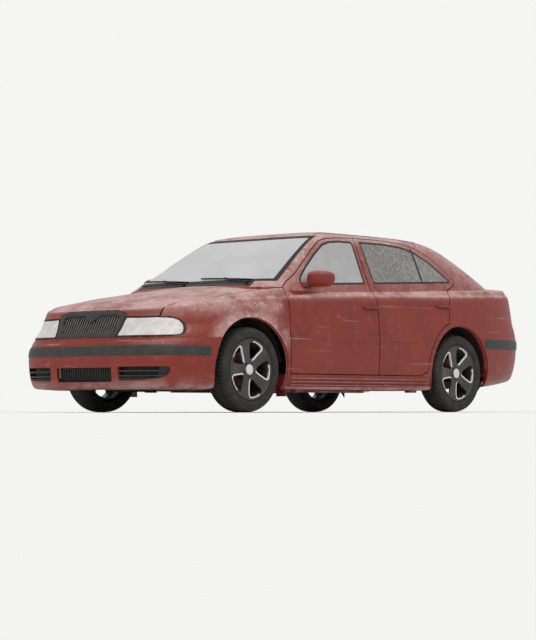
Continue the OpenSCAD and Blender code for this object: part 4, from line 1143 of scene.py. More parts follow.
@dataclass
class PaintedBody:
    """Fixed painted skins: wings, quarters, roof, bumpers and sills."""

    step: float = 15
    lip_depth: float = 20
    lip_wall: float = 4

    def build(self) -> None:
        """Make every fixed outer panel and its trim."""
        self.wings()
        self.quarters()
        self.roof()
        self.bumpers()
        self.sills()
        self.arch_lips()

    def wings(self) -> None:
        """Front wings from the door to the lamp, over the shoulder to the bonnet."""
        region = all_of(beyond(0, 880), outside(FRONT_DOOR, GAP), outside(FRONT_ARCH),
                        outside(HEADLIGHT, 1), outside(BONNET, GAP), clear_of_cabin,
                        outside(all_of(beyond(2, FRONT_SPLIT, -1), beyond(0, 1600))),
                        outside(beyond(2, SILL_TOP, -1)),
                        outside(all_of(beyond(0, 1100, -1), beyond(2, COWL_FOOT))),
                        outside(all_of(beyond(0, 2180), narrower(600))))
        patch = skin(lower_chart((0.55, 1.75), (1.6, 10.4), self.step), region)
        x, _, z = patch.points.T
        # chalk gathers above the wheel opening and along the shoulder, and a painted highlight is laid there
        # too, where these edges catch the light
        flare = np.exp(-(FRONT_ARCH(patch.points) / 80) ** 2) * ease((z - 420) / 220)
        shoulder = np.exp(-((z - 800) / 75) ** 2) * ease((x - 950) / 150)
        flare = np.maximum(flare, 0.8 * shoulder)
        patch.values["bloom"] = np.maximum(patch.values["bloom"], 0.85 * flare)
        pair("wing_skin", patch, PAINT)

    def quarters(self) -> None:
        """Rear quarters below the belt, and the pillars and roof rails above it."""
        common = [all_of(outside(both_ways(REAR_DOOR), GAP), outside(FRONT_DOOR, GAP)),
                  outside(REAR_ARCH), outside(TAILGATE, GAP)]
        low = all_of(*common, beyond(0, -560, -1), beyond(2, SILL_TOP), clear_of_cabin,
                     outside(all_of(beyond(0, -1400, -1), beyond(2, REAR_SPLIT, -1))),
                     outside(TAIL_LIGHT))
        chart = lower_chart((2.2, 3.75), (1.2, 11.3), self.step)
        flap_hole = polygon([[-1726, 719], [-1549, 719], [-1549, 881], [-1726, 881]], 0, 2)
        right = skin(chart, all_of(low, outside(flap_hole))).mirrored()
        high = all_of(*common, above_lower, outside(SCREEN, 1),
                      outside(all_of(beyond(0, 700, -1), beyond(0, -1010), narrower(520),
                                     beyond(2, 1300))),
                      outside(all_of(beyond(0, 880), beyond(2, COWL_FOOT, -1))))
        rail = skin(cabin_chart((0.8, 3.7), (0.9, 9.4), self.step), high)
        for side, low_skin, high_skin in (("left", skin(chart, low), rail),
                                          ("right", right, rail.mirrored())):
            piece(f"quarter_skin_{side}", joined([low_skin, high_skin]), PAINT)

    def roof(self) -> None:
        """Roof panel between the rails, with two drip channels."""
        region = all_of(polygon([[700, -520], [-995, -520], [-995, 520], [700, 520]], 0, 1),
                        outside(SCREEN, 1), beyond(2, 1290))
        patch = skin(top_chart((-1000, 480), (-525, 525), self.step, BODY.cabin_top), region)
        piece("roof_skin", patch, PAINT)
        x = np.linspace(300, -985, 60)
        height = BODY.cabin_top(x, np.full_like(x, 520.0)) + 2.2
        runs = np.stack([run(x, s * 520, height) for s in (-1, 1)])
        piece("roof_channel_seals", tubes(runs, 5, 2.5, sides=8), SEAL)

    def bumpers(self) -> None:
        """Bumper covers with their openings, dark rub strips and a fine split."""
        front = all_of(beyond(2, FRONT_SPLIT, -1), beyond(0, 1600), outside(FRONT_ARCH, 8),
                       outside(SIDE_INTAKE), outside(CENTRE_INTAKE))
        chart = lower_chart((-1.75, 1.75), (0.02, 4.75), 13)
        cover = skin(chart, front)
        cover.values["salt"] = np.maximum(cover.values["salt"], ease((226 - cover.points[:, 2]) / 46))
        piece("front_bumper_skin", cover, PAINT)
        frame = skin(lower_chart((0.2, 1.3), (0.6, 2.9), 9),
                     all_of(grown(SIDE_INTAKE, 3), outside(SIDE_WELL, -1)), 0.6, 5)
        piece("side_intake_frames", both_sides(frame), BLACK_PLASTIC_AND_SHADE)
        strip = all_of(beyond(2, 410), beyond(2, 485, -1), beyond(0, 1775), outside(FRONT_ARCH, 26))
        guard = skin(lower_chart((-1.7, 1.7), (2.6, 4.3), 9), strip, 8, 10, rolled=5)
        piece("front_rub_strip", guard, PLASTIC, slot=Slot.PLASTIC)
        rear = all_of(beyond(2, REAR_SPLIT, -1), beyond(0, -1400, -1), outside(REAR_ARCH, 8))
        half = skin(lower_chart((2.3, 4), (0.02, 5.9), 14), rear)
        piece("rear_bumper_skin", both_sides(half), PAINT)
        strip = all_of(beyond(2, 520), beyond(2, 600, -1), beyond(0, -1490, -1), outside(REAR_ARCH, 26))
        half = skin(lower_chart((2.4, 4), (2.6, 5.0), 10), strip, 8, 10, rolled=5)
        piece("rear_rub_strip", both_sides(half), PLASTIC, slot=Slot.PLASTIC)
        z = np.linspace(326, 540, 24)
        y = np.full_like(z, -296.0)
        line = run(BODY.front(y, z) + 1.6, y - 6 * np.sin(z / 60), z)
        piece("front_bumper_split", tubes(line, 1.6, 0.8, up=(1, 0, 0), sides=6), SEAL)
        self.intakes()

    def intakes(self) -> None:
        """Near-black wells behind the openings, painted as the shade inside them, upright fins in the middle
        and level bars at the sides.
        """
        # near-black wells: painted shade inside the openings
        middle, side = (skin(end_chart(y, z), region, -44, 4) for region, y, z in (
            (grown(CENTRE_INTAKE, 14), (-305, 305), (200, 345)),
            (grown(SIDE_WELL, 12), (330, 710), (235, 345))))
        piece("intake_wells", joined([middle, side, side.mirrored()]), BLACK_PLASTIC_AND_SHADE)
        y = np.linspace(-276, 276, 24)
        z = np.linspace(224, 324, 8)
        yy, zz = np.meshgrid(y, z, indexing="ij")
        fins = run(BODY.front(yy.ravel(), zz.ravel()).reshape(yy.shape) - 16, yy, zz)
        piece("centre_intake_fins", tubes(fins, 3.2, 5, up=(1, 0, 0), sides=4), PLASTIC)
        y = np.linspace(356, 714, 28)
        bars = np.stack([run(BODY.front(y, np.full_like(y, h)) - 3, y, h) for h in (264, 299)])
        piece("side_intake_bars", both_sides(tubes(bars, 5.5, 6, up=(1, 0, 0), sides=8, power=3)), PLASTIC)

    def sills(self) -> None:
        """Sill covers with three pressed ribs."""
        region = all_of(beyond(2, 288, -1), beyond(2, 176), beyond(0, -1000), beyond(0, 1200, -1),
                        outside(FRONT_ARCH, 8), outside(REAR_ARCH, 8))
        plain = skin(lower_chart((1.35, 2.6), (0.05, 1.35), 14), region, 1.8, 5)
        x = np.linspace(930, -740, 80)
        ribs = np.stack([run(x, BODY.lower_side(x, np.full_like(x, h)) + 2, h) for h in (206, 232, 258)])
        patch = joined([plain, tubes(ribs, 5, 3.4, up=(0, 1, 0), sides=8)])
        patch.values["bloom"] = np.full(len(patch.points), 0.25)
        pair("sill_skin", patch, PAINT)

    def arch_lips(self) -> None:
        """Rolled lips round the wheel openings: the arc carried inwards on a quarter round."""
        lips = []
        for x0, first, last in ((FRONT_AXLE, 12, 202), (REAR_AXLE, -20, 174)):
            t = np.radians(np.linspace(first, last, 90))
            turn = np.radians(np.linspace(0, 90, 6))
            angle, bend = np.meshgrid(t, turn, indexing="ij")
            radius = ARCH_RADIUS - self.lip_depth * 0.25 * (1 - np.cos(bend))
            x, z = x0 + ARCH_RADIUS * np.cos(angle), HUB_HEIGHT + ARCH_RADIUS * np.sin(angle)
            y = BODY.side(x.ravel(), np.maximum(z.ravel(), 182)).reshape(x.shape) + 1.6
            y -= self.lip_depth * np.sin(bend)
            outer, inner = (run(x0 + (radius + back) * np.cos(angle), y - back / 2,
                                HUB_HEIGHT + (radius + back) * np.sin(angle)) for back in (0, self.lip_wall))
            loop = np.concatenate([outer, inner[:, ::-1]], axis=1)
            rows, n = loop.shape[:2]
            faces = grid_faces(rows, n, False, True).tolist()
            faces += [list(range(n)), [(rows - 1) * n + k for k in range(n)][::-1]]
            lips.append(outward(Patch(loop.reshape(-1, 3), faces)))
        patch = joined(lips)
        patch.values["bloom"] = np.full(len(patch.points), 0.12)
        pair("arch_lips", patch, PAINT)


@dataclass
class Closures:
    """Doors, bonnet, tailgate and fuel flap: painted skins, glass, seals, handles and mirrors."""

    step: float = 14

    def build(self) -> None:
        """Make the skins and trim of everything that opens."""
        self.doors()
        self.bonnet()
        self.tailgate()
        self.handles()
        self.mirrors()
        flap = skin(lower_chart((2.6, 3.1), (4.5, 7.2), 9), both_ways(polygon(
            [[-1720, 725], [-1584, 725], [-1584, 875], [-1720, 875]], 0, 2)), 1.6, 3.5, rolled=1.2)
        piece("fuel_flap_skin", flap.mirrored(), PAINT, "fuel_flap")

    def doors(self) -> None:
        """Door skins in two parts that meet at the belt, with panes, seals and rub mouldings."""
        for name, door, window, s, glass in (
                ("front_door", FRONT_DOOR, FRONT_WINDOW, (1.4, 2.12), SIDE_GLASS),
                ("rear_door", REAR_DOOR, REAR_WINDOW, (1.98, 2.68), REAR_GLASS)):
            low = skin(lower_chart(s, (0.9, 9.0), self.step), all_of(door, clear_of_cabin))
            wide = (s[0] - 0.35, s[1] + 0.35)
            high = skin(cabin_chart(wide, (0.7, 8.6), 9), all_of(door, outside(window), above_lower))
            body = name + "_{}"
            pair(name + "_skin", joined([low, high]), PAINT, body)
            pane = skin(cabin_chart(wide, (0.7, 8.2), 14), grown(window, -1), 1.0, 13.5)
            pair(name + "_pane", pane, glass, body)
            seal = skin(cabin_chart(wide, (0.7, 8.4), 6), all_of(band(window, -8, 8), above_lower),
                        3, 6, rolled=1.5)
            pair(name + "_window_seal", seal, SEAL, body)
            strip = all_of(beyond(2, 549), beyond(2, 573, -1), grown(door, -14))
            moulding = skin(lower_chart(s, (3.6, 5.0), 7), strip, 7.5, 8, rolled=4)
            pair(name + "_moulding", moulding, PAINT, body)
        z = np.linspace(1056, 1322, 30)
        x = np.interp(z, [1056, 1322], [-812, -800])
        bar = run(x, BODY.cabin_side(x, z) + 0.5, z)
        pair("rear_door_divider", tubes(bar, 10, 3.5, up=(0, 1, 0), sides=12, power=4), SEAL, "rear_door_{}")

    def bonnet(self) -> None:
        """Bonnet skin with two raised creases running back from the grille."""
        def height(x: Array, y: Array) -> Array:
            """Top of the body, with a ridge a few millimetres high either side."""
            centre = np.interp(x, [1100, 2150], [520, 330])
            ends = ease((2120 - x) / 90) * ease((x - 1110) / 80)
            return BODY.lower_top(x, y) + 5 * np.exp(-((np.abs(y) - centre) / 34) ** 2) * ends
        patch = skin(top_chart((1105, 2135), (-700, 700), self.step, height),
                     all_of(BONNET, inside_ring_nine, outside(GRILLE_ZONE, -2)))
        region = all_of(BONNET, beyond(2, 694), outside(HEADLIGHT, 5), outside(GRILLE, 4))
        lip = skin(lower_chart((-0.93, 0.93), (5.6, 9.0), 9), region)
        piece("bonnet_skin", joined([patch, lip]), PAINT, "bonnet")
        nozzles = joined([blob((1180, s * 250, 964), (16, 11, 5)) for s in (-1, 1)])
        piece("washer_nozzles", nozzles, PLASTIC, "bonnet")

    def tailgate(self) -> None:
        """Tailgate: rear face and lip by rings, deck and window surround from above."""
        def rounded(p: Array) -> Array:
            """Inside ring 9 of the lower body, or on the cabin."""
            return np.minimum(inside_ring_nine(p) - 2, above_lower(p) + 4)
        deck = all_of(TAILGATE, rounded, outside(REAR_SCREEN), beyond(2, 930))
        top = skin(top_chart((-2180, -1000), (-668, 668), self.step), deck)
        low = all_of(TAILGATE, beyond(2, 664), clear_of_cabin, outside(TAIL_LIGHT, 2))
        face = skin(lower_chart((3.0, 4), (5.6, 9.05), 13), low)
        piece("tailgate_skin", joined([top, face, face.mirrored()]), PAINT, "tailgate")
        pane = skin(top_chart((-1700, -1080), (-575, 575), 16, BODY.cabin_top),
                    grown(REAR_SCREEN, -2), 0.3, 9)
        piece("rear_screen_pane", pane, GLASS, "tailgate")
        seal = skin(top_chart((-1715, -1070), (-590, 590), 8, BODY.cabin_top),
                    band(REAR_SCREEN, -14, 6), 2.6, 5)
        piece("rear_screen_seal", seal, SEAL, "tailgate")
        y = np.linspace(-250, 250, 26)
        line = run(BODY.back(y, np.full_like(y, 790.0)) - 2, y, 806)
        piece("plate_garnish", tubes(line, 14, 11, up=(1, 0, 0), sides=16, power=3), PAINT, "tailgate")
        plate = skin(end_chart((-262, 262), (674, 788), 13, BODY.back),
                     polygon([[-256, 680], [256, 680], [256, 782], [-256, 782]], 1, 2), 5, 5, rolled=1.5)
        piece("blank_rear_plate", plate, PLATE, "tailgate")

    def handles(self) -> None:
        """Pull handles over flat darker patches painted as the shade of their recesses."""
        for name, x, z in (("front_door", -10, 812), ("rear_door", -930, 852)):
            t = np.linspace(0, 1, 26)
            xs = x + 84 * (1 - 2 * t)
            zs = z + 3 * np.sin(t * math.pi)
            stand = 4 + 20 * np.minimum(1, np.sin(t * math.pi) * 3) ** 0.8
            bar = run(xs, BODY.lower_side(xs, zs) + stand, zs)
            grip = tubes(bar, 10.5, 6.5, up=(0, 1, 0), sides=14, power=2.6)
            pair(name + "_handle", grip, PAINT, name + "_{}")

            def hollow(p: Array, x: float = x, z: float = z) -> Array:
                """Below zero inside an oval round the handle's middle."""
                return (np.hypot((p[:, 0] - x) / 66, (p[:, 2] - z) / 27) - 1) * 27
            # flat darker oval: painted shade of the recess behind the handle
            pair(name + "_handle_dish", skin(lower_chart((1.4, 2.7), (5.2, 7.6), 7), hollow, 2.2, 3),
                 SHADE, name + "_{}")

    def mirrors(self) -> None:
        """Mirror heads, glass and feet, which enclose the frame's plainer ones."""
        def shaped(u: Array) -> Array:
            """Flatten the back, where the glass is, and sweep the outer end back."""
            x = np.where(u[:, 0] < 0, np.maximum(u[:, 0], -0.55), u[:, 0] * (1 - 0.18 * u[:, 1]))
            return np.stack([x - 0.14 * u[:, 1] ** 2, u[:, 1], u[:, 2] * (1 - 0.1 * u[:, 1])], -1)
        head = blob((628, 884, 1012), (68, 110, 63), 3.1, shaped=shaped)
        # top of the head paled: chalk and a painted highlight of light from above
        head.values["bloom"] = ease((head.points[:, 2] - 1030) / 50) * 0.35
        pair("mirror_head", head, PAINT, "front_door_{}")
        glass = blob((588, 892, 1012), (5, 84, 48), 3.2)
        pair("mirror_glass", glass, MIRROR, "front_door_{}")
        foot = tubes(np.array([[676, 762, 962], [668, 790, 968], [650, 830, 975], [632, 862, 986],
                               [622, 884, 1000]]), 34, 22, sides=18, power=2.6)
        pair("mirror_foot", foot, PLASTIC, "front_door_{}", slot=Slot.PLASTIC)


@dataclass
class LampsAndGrille:
    """Grille, headlamps, tail lamps and the windscreen with its two wipers."""

    bars: int = 25
    lean: float = 0.10        # of the grille bars, sideways for each unit of height

    def build(self) -> None:
        """Make everything at the two ends and the windscreen."""
        self.grille()
        self.headlamps()
        self.tail_lamps()
        self.windscreen()

    def grille(self) -> None:
        """Surround with a V in its top edge, slanting bars and a near-black back painted as the shade behind
        them.
        """
        inner = polygon([[-272, 583], [272, 583], [300, 690], [236, 705], [84, 709], [0, 648], [-84, 709],
                         [-236, 705], [-300, 690]], 1, 2)
        surround = skin(end_chart((-352, 352), (540, 748), 7), all_of(GRILLE, outside(inner)), 7, 30,
                        rolled=5)
        # near-black back: painted shade behind the bars
        back = skin(end_chart((-352, 352), (540, 748), 14), grown(GRILLE, -3), -30, 5)
        piece("grille_surround", surround, PLASTIC, replaces=["grille"], slot=Slot.PLASTIC)
        piece("grille_back", back, BLACK_PLASTIC_AND_SHADE)
        y0 = np.linspace(-300, 300, self.bars)
        z = np.linspace(570, 716, 12)
        yy, zz = np.meshgrid(y0, z, indexing="ij")
        leant = yy + (zz - 640) * self.lean
        flat = run(0, leant.ravel(), zz.ravel())
        shown = inner(flat).reshape(yy.shape) < 4
        low = np.where(shown, zz, 1e9).min(1)
        high = np.where(shown, zz, -1e9).max(1)
        good = high > low
        zz = low[good, None] + (high - low)[good, None] * np.linspace(0, 1, 9)
        yy = y0[good, None] + (zz - 640) * self.lean
        x = BODY.front(yy.ravel(), zz.ravel()).reshape(yy.shape) - 9
        piece("grille_bars", tubes(run(x, yy, zz), 3.4, 4, up=(1, 0, 0), sides=6, power=2.4), BARS)
        nose = float(BODY.front(np.zeros(1), np.full(1, 702.0))[0])
        piece("grille_boss", blob((nose + 4, 0, 702), (6, 27, 27), 2.2), PLASTIC)

    def headlamps(self) -> None:
        """Clouded lenses with black rims."""
        chart = lower_chart((0.28, 1.32), (3.9, 8.4), 8)
        zone = all_of(HEADLIGHT, beyond(0, 1850))
        lens = skin(chart, grown(zone, -7), 2.0, 16, rolled=1.5)
        rim = skin(chart, all_of(zone, outside(grown(HEADLIGHT, -9))), 3.2, 22, rolled=1.5)
        made = pair("headlamp_lens", lens, LENS, slot=Slot.LENS)
        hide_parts("headlights")
        pair("headlamp_rim", rim, SEAL)

    def tail_lamps(self) -> None:
        """Three-colour tail lamps split by height."""
        chart = lower_chart((3.0, 3.9), (5.0, 8.3), 9)
        rows = (("red", RED_LENS, 786, 1000), ("amber", AMBER_LENS, 752, 784), ("clear", LENS, 700, 750))
        for name, finish, low, high in rows:
            part = skin(chart, all_of(TAIL_LIGHT, beyond(2, low), beyond(2, high, -1)), 2.2, 18, rolled=1.5)
            made = pair(f"tail_lamp_{name}", part, finish)
            if name == "red":
                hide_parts("tail_lights")

    def windscreen(self) -> None:
        """Frosted screen, its black edge, and two wipers of a blade, an arm and a hub."""
        chart = cabin_chart((-1.15, 1.15), (0.9, 7.6), 14)
        pane = skin(chart, grown(SCREEN, -1), 0.4, 10)
        piece("windscreen_pane", pane, GLASS)
        seal = skin(cabin_chart((-1.2, 1.2), (0.9, 7.8), 7), band(SCREEN, -15, 5), 2.8, 6, rolled=1.2)
        piece("windscreen_seal", seal, SEAL)
        t = np.linspace(0, 1, 30)
        z = 1004 + 26 * t + 12 * t * (1 - t)
        for name, start in (("left", 560), ("right", -90)):
            y = start - 560 * t
            line = run(self.screen_x(y, z) + 12, y, z)
            root = self.screen_x(np.array([start - 10.0]), np.array([985.0]))[0] + 30
            arm = np.linspace((root, start - 10, 984), line[15] + [14, 0, 3], 14)
            blade = tubes(line, 3.2, 8, up=(1, 0, 0.4), sides=6)
            strip = tubes(arm, 6, 4, up=(1, 0, 1), sides=8, power=3)
            hub = blob(arm[0], (16, 16, 13), 2.5)
            piece(f"wiper_{name}", joined([blade, strip, hub]), BLACK_PLASTIC_AND_SHADE)

    @staticmethod
    def screen_x(y: Array, z: Array) -> Array:
        """Forward reach of the cabin at y and z."""
        u = solve(lambda t: BODY.row(BODY.cabin_rings, t)[0] - z, 0, BODY.cabin_last, y)
        r = BODY.row(BODY.cabin_rings, u)
        return r[2] * (1 - np.clip(np.abs(y / r[1]), 0, 1) ** r[4]) ** (1 / r[4])


@dataclass
class Wheel:
    """One road wheel: treaded tyre, five-window cast rim, brake disc, cap and bolts."""

    name: str
    centre: tuple[float, float, float]
    side: int
    radius: float = 316
    half_width: float = 97.5
    rim_radius: float = 218
    tyre_wall: float = 12
    windows: int = 5

    def build(self) -> None:
        """Make the wheel's pieces, which stand for the frame's wheel."""
        body = f"wheel_{self.name}"
        self.put("tyre", self.tyre(), RUBBER, body, replaces=[body])
        self.put("rim", self.face(), ALLOY, body)
        self.put("barrel", self.barrel(), ALLOY, body)
        self.put("cap", self.cap(), BRIGHT, body)
        self.put("bolts", self.bolts(), CHASSIS, body)
        self.put("disc", self.disc(), IRON, body)

    def put(self, part: str, patch: Patch, finish: Finish, body: str, **more: object) -> None:
        """Place a part that was made round the origin, facing outwards along y.

        Args:
            part: The part's own name.
            patch: Its shape.
            finish: Its finish.
            body: The wheel's body.
            more: Further settings of piece.
        """
        faces = patch.faces if self.side > 0 else [f[::-1] for f in patch.faces]
        placed = Patch(patch.points * [1, self.side, 1] + np.array(self.centre), faces, patch.values)
        piece(f"{body}_{part}", placed, finish, body, **more)

    def tyre(self) -> Patch:
        """Squared-ellipse section, with three ring grooves and slanted cross grooves cut in its crown."""
        phi = np.radians(np.linspace(-53, 233, 60))
        c, s = np.cos(phi), np.sin(phi)
        d = (np.abs(c) ** 3.1 + np.abs(s) ** 3.1) ** (1 / 3.1)
        middle = (self.rim_radius + self.radius) / 2
        outer, inner = (np.stack([middle + (self.radius - middle - t) * s / d,
                                  (self.half_width - t) * c / d], -1) for t in (0, self.tyre_wall))
        profile = np.concatenate([outer, inner[::-3]])

        def tread(angle: Array, radius: Array, axial: Array) -> Array:
            """Depth below the crown: rings at three places, and a wave of sipes between them.

            Args:
                angle: Angle round the axle.
                radius: Radius before the tread is cut.
                axial: Place along the axle.
            Returns:
                The extra radius, below zero in a groove.
            """
            crown = ease((radius - 303) / 6)
            ring = np.exp(-((np.abs(axial) - 34) / 5.0) ** 4) + np.exp(-(axial / 4.5) ** 4)
            lean = angle + np.sign(axial) * np.abs(axial) / 900
            sipe = ease((np.sin(lean * 66 + (np.abs(axial) > 34) * 1.6) - 0.45) / 0.4)
            sipe = sipe * (0.35 + 0.65 * (np.abs(axial) > 38))
            return -crown * np.maximum(np.clip(ring, 0, 1) * 7.5, sipe * 5.5)
        made = turned(profile, 396, tread)
        radius = np.hypot(made.points[:, 0], made.points[:, 2])
        # groove depth, which the tyre's finish turns into painted shade
        made.values["groove"] = np.clip(made.values["groove"] / 6, 0, 1)
        made.values["worn"] = ease((radius - 300) / 14)
        return made

    def face(self) -> Patch:
        """Dished rim face with rounded windows, cut from a polar chart.

        Returns:
            The face, whose value edge marks the bright lips of the windows.
        """
        sector = 2 * math.pi / self.windows

        def depth(r: Array) -> Array:
            """Axial place of the face: hub, dip behind the spokes' roots, rise to the bead."""
            return np.interp(r, [0, 40, 62, 90, 130, 170, 200, 216], [70, 72, 71, 66, 68, 75, 83, 85])

        def place(r: Array, t: Array) -> Array:
            """Point of the face, with spokes crowned along their middles.

            Args:
                r: Radius.
                t: Angle.
            Returns:
                Points, as rows of x, y and z.
            """
            fold = np.abs((t / sector) % 1 - 0.5) * 2
            crowned = 5 * (1 - (1 - fold) ** 2) * ease((r - 70) / 40) * ease((212 - r) / 30) - 2
            return run(r * np.cos(t), depth(r) + crowned, r * np.sin(t))
        outline = polygon([[84, -8], [98, -20], [172, -62], [186, -62], [194, -48], [201, 0], [194, 48],
                           [186, 62], [172, 62], [98, 20], [84, 8]], 0, 1)

        def folded(p: Array) -> tuple[Array, Array]:
            """Turn points onto the nearest window's own axes.

            Args:
                p: Points of the face.
            Returns:
                Distance outwards and distance across.
            """
            t = np.arctan2(p[:, 2], p[:, 0]) % sector - sector / 2
            r = np.hypot(p[:, 0], p[:, 2])
            return r * np.cos(t), r * np.sin(t)

        def window(p: Array) -> Array:
            """Distance outside the nearest window, its corners rounded."""
            out, across = folded(p)
            return outline(run(out, across, 0)) - 4
        chart = Chart(place, np.linspace(26, 216, 64), np.linspace(0, 2 * math.pi, 421))
        made = skin(chart, outside(window), 0, 13, centre=(1, -400, 0))
        out, across = folded(made.points)
        gap = window(made.points)
        hook = np.maximum(ease((out - 178) / 10), ease((across - 4) / 8))
        away = ease((-across - 30) / 14)
        made.values["edge"] = hook * (1 - away) * ease((11.5 - gap) / 3)
        return made

    def barrel(self) -> Patch:
        """Rim lip and barrel as one spun section."""
        return turned([(210, 80), (216, 88), (222, 90), (228, 86), (229, 80), (222, 74), (214, 60), (208, 0),
                       (212, -62), (222, -78), (229, -83), (224, -88), (216, -84), (205, -64), (200, 0),
                       (200, 60), (205, 74)], 120)

    def cap(self) -> Patch:
        """Domed centre cap."""
        return turned([(0.5, 83), (16, 82), (30, 79), (39, 73), (39, 62), (0.5, 62)], 56)

    def bolts(self) -> Patch:
        """Five domed hexagon heads on the bolt circle."""
        head = turned([(0.5, 79), (5, 78), (7.5, 75), (7.5, 62), (0.5, 62)], 6)
        t = np.arange(5) * 2 * math.pi / 5 + math.radians(54)
        return joined([Patch(head.points + [50 * math.cos(a), 0, 50 * math.sin(a)], head.faces) for a in t])

    def disc(self) -> Patch:
        """Vented brake disc and its bell."""
        rotor = turned([(70, -28), (126, -28), (128, -30), (128, -48), (126, -50), (70, -50)], 96)
        bell = turned([(27, 12), (66, 12), (71, 6), (71, -48), (60, -50), (27, -50)], 64)
        return joined([rotor, bell])


@dataclass
class Cabin:
    """Padded seats and headrests, gear lever, handbrake, and the dash's hood and vents."""

    seat_y: float = 365

    def build(self) -> None:
        """Make the seats and the small things in reach of the driver."""
        self.front_seats()
        self.bench()
        self.controls()

    @staticmethod
    def pad(channels: Sequence[float], bolster: float, axis: int) -> Callable[[Array], Array]:
        """Shape a unit form into a crowned pad with sewn channels and raised side bolsters.

        Args:
            channels: Places of the channels along the pad's length, as shares of its half length.
            bolster: How far the sides rise above the middle, as a share of the half thickness.
            axis: Which unit axis is the thickness; the other of x and z is the length.
        Returns:
            Function of unit points.
        """
        length = 2 - axis

        def shaped(u: Array) -> Array:
            """Crown, less a groove at each channel, with the waist between corners drawn in.

            Args:
                u: Points of a unit form.
            Returns:
                The shaped points.
            """
            face = ease((u[:, axis] - 0.2) / 0.5)
            inside = ease((0.80 - np.abs(u[:, 1])) / 0.12)
            groove = sum(np.exp(-((u[:, length] - c) / 0.035) ** 2) for c in channels)
            seam = np.exp(-((np.abs(u[:, 1]) - 0.72) / 0.03) ** 2)
            rise = bolster * ease((np.abs(u[:, 1]) - 0.6) / 0.3) - 0.10 * groove * inside - 0.10 * seam
            rise = rise - 0.10 * inside * (1 - u[:, length] ** 2) * (bolster > 0)
            made = u.copy()
            made[:, axis] = u[:, axis] * (1 - bolster) + face * rise
            made[:, 1] = u[:, 1] * (1 - 0.035 * (1 - u[:, length] ** 2))
            made[:, length] = u[:, length] * (1 - 0.025 * (1 - u[:, 1] ** 2))
            return made
        return shaped

    def front_seats(self) -> None:
        """Two front seats: cushion, leaning back, headrest on two posts, and a base on rails."""
        for side, y in (("left", self.seat_y), ("right", -self.seat_y)):
            seat = blob((150, y, 390), (260, 250, 60), 4.2, 0, 56, 96, self.pad((-0.35, 0.25), 0.22, 2))
            base = joined([blob((150, y, 262), (185, 185, 68), 9, 0, 24, 48),
                           *[tubes(np.array([[-60, y + k, 203], [360, y + k, 203]]), 14, 9, sides=8, power=4)
                             for k in (-150, 150)]])
            back = blob((-126.4, y, 705.5), (58, 250, 298), 4.0, -14, 72, 96,
                        self.pad((-0.45, 0.0, 0.45), 0.24, 0))
            rest = blob((-228, y, 1074), (36, 122, 76), 3.2, -8, 36, 64, self.pad((), 0.0, 0))
            posts = tubes(np.array([[[-200, y + k, 960], [-222, y + k, 1040]] for k in (-55, 55)]), 6, 6,
                          up=(1, 0, 0), sides=12)
            made = [piece(f"front_seat_{part}_{side}", shape, CLOTH, sharp=70)
                    for part, shape in (("cushion", seat), ("back", back), ("headrest", rest))]
            piece(f"front_seat_base_{side}", base, CABIN_PLASTIC)
            piece(f"front_seat_posts_{side}", posts, BRIGHT)
            if side == "left":
                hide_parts("front_seats")

    def bench(self) -> None:
        """Rear bench: one long cushion and a back with the split between its seats."""
        seat = blob((-690, 0, 464), (240, 588, 60), 5, 0, 56, 140, self.pad((0.2,), 0.0, 2))
        back = blob((-912.6, 0, 714), (58, 588, 288), 5, -18, 64, 140, self.pad((-0.3, 0.3), 0.0, 0))
        made = [piece("rear_bench_cushion", seat, CLOTH, sharp=70),
                piece("rear_bench_back", back, CLOTH, sharp=70)]
        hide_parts("rear_bench")

    def controls(self) -> None:
        """Gear lever in its gaiter, handbrake, and the dash's hood and vents."""
        gaiter = turned([(1, 0), (52, 0), (44, 24), (34, 52), (20, 84), (10, 96), (1, 98)], 40)
        upright = Patch(gaiter.points[:, [0, 2, 1]] + [420, 0, 366], gaiter.faces)
        knob = blob((420, 0, 560), (24, 24, 32), 2.4)
        stick = tubes(np.array([[420, 0, 450], [420, 0, 548]]), 6, 6, up=(1, 0, 0), sides=12)
        brake = tubes(np.array([[40, 0, 372], [100, 0, 420], [240, 0, 470]]), 14, 12, sides=14, power=3)
        piece("gear_lever_and_handbrake", joined([outward(upright), knob, stick, brake]),
              CABIN_PLASTIC)
        t = np.linspace(0, math.pi, 30)
        hood = run(745, 365 + 170 * np.cos(t), 905 + 46 * np.sin(t))
        binnacle = tubes(hood, 42, 5, up=(0, 0.3, 1), sides=14, power=3)
        vents = [tubes(np.array([[694, y, 812 + 12 * k], [694, y + 120, 812 + 12 * k]]), 6, 2, sides=6)
                 for y in (-60, -540, 420) for k in range(4)]
        piece("dash_hood_and_vents", joined([binnacle, *vents]), CABIN_PLASTIC)


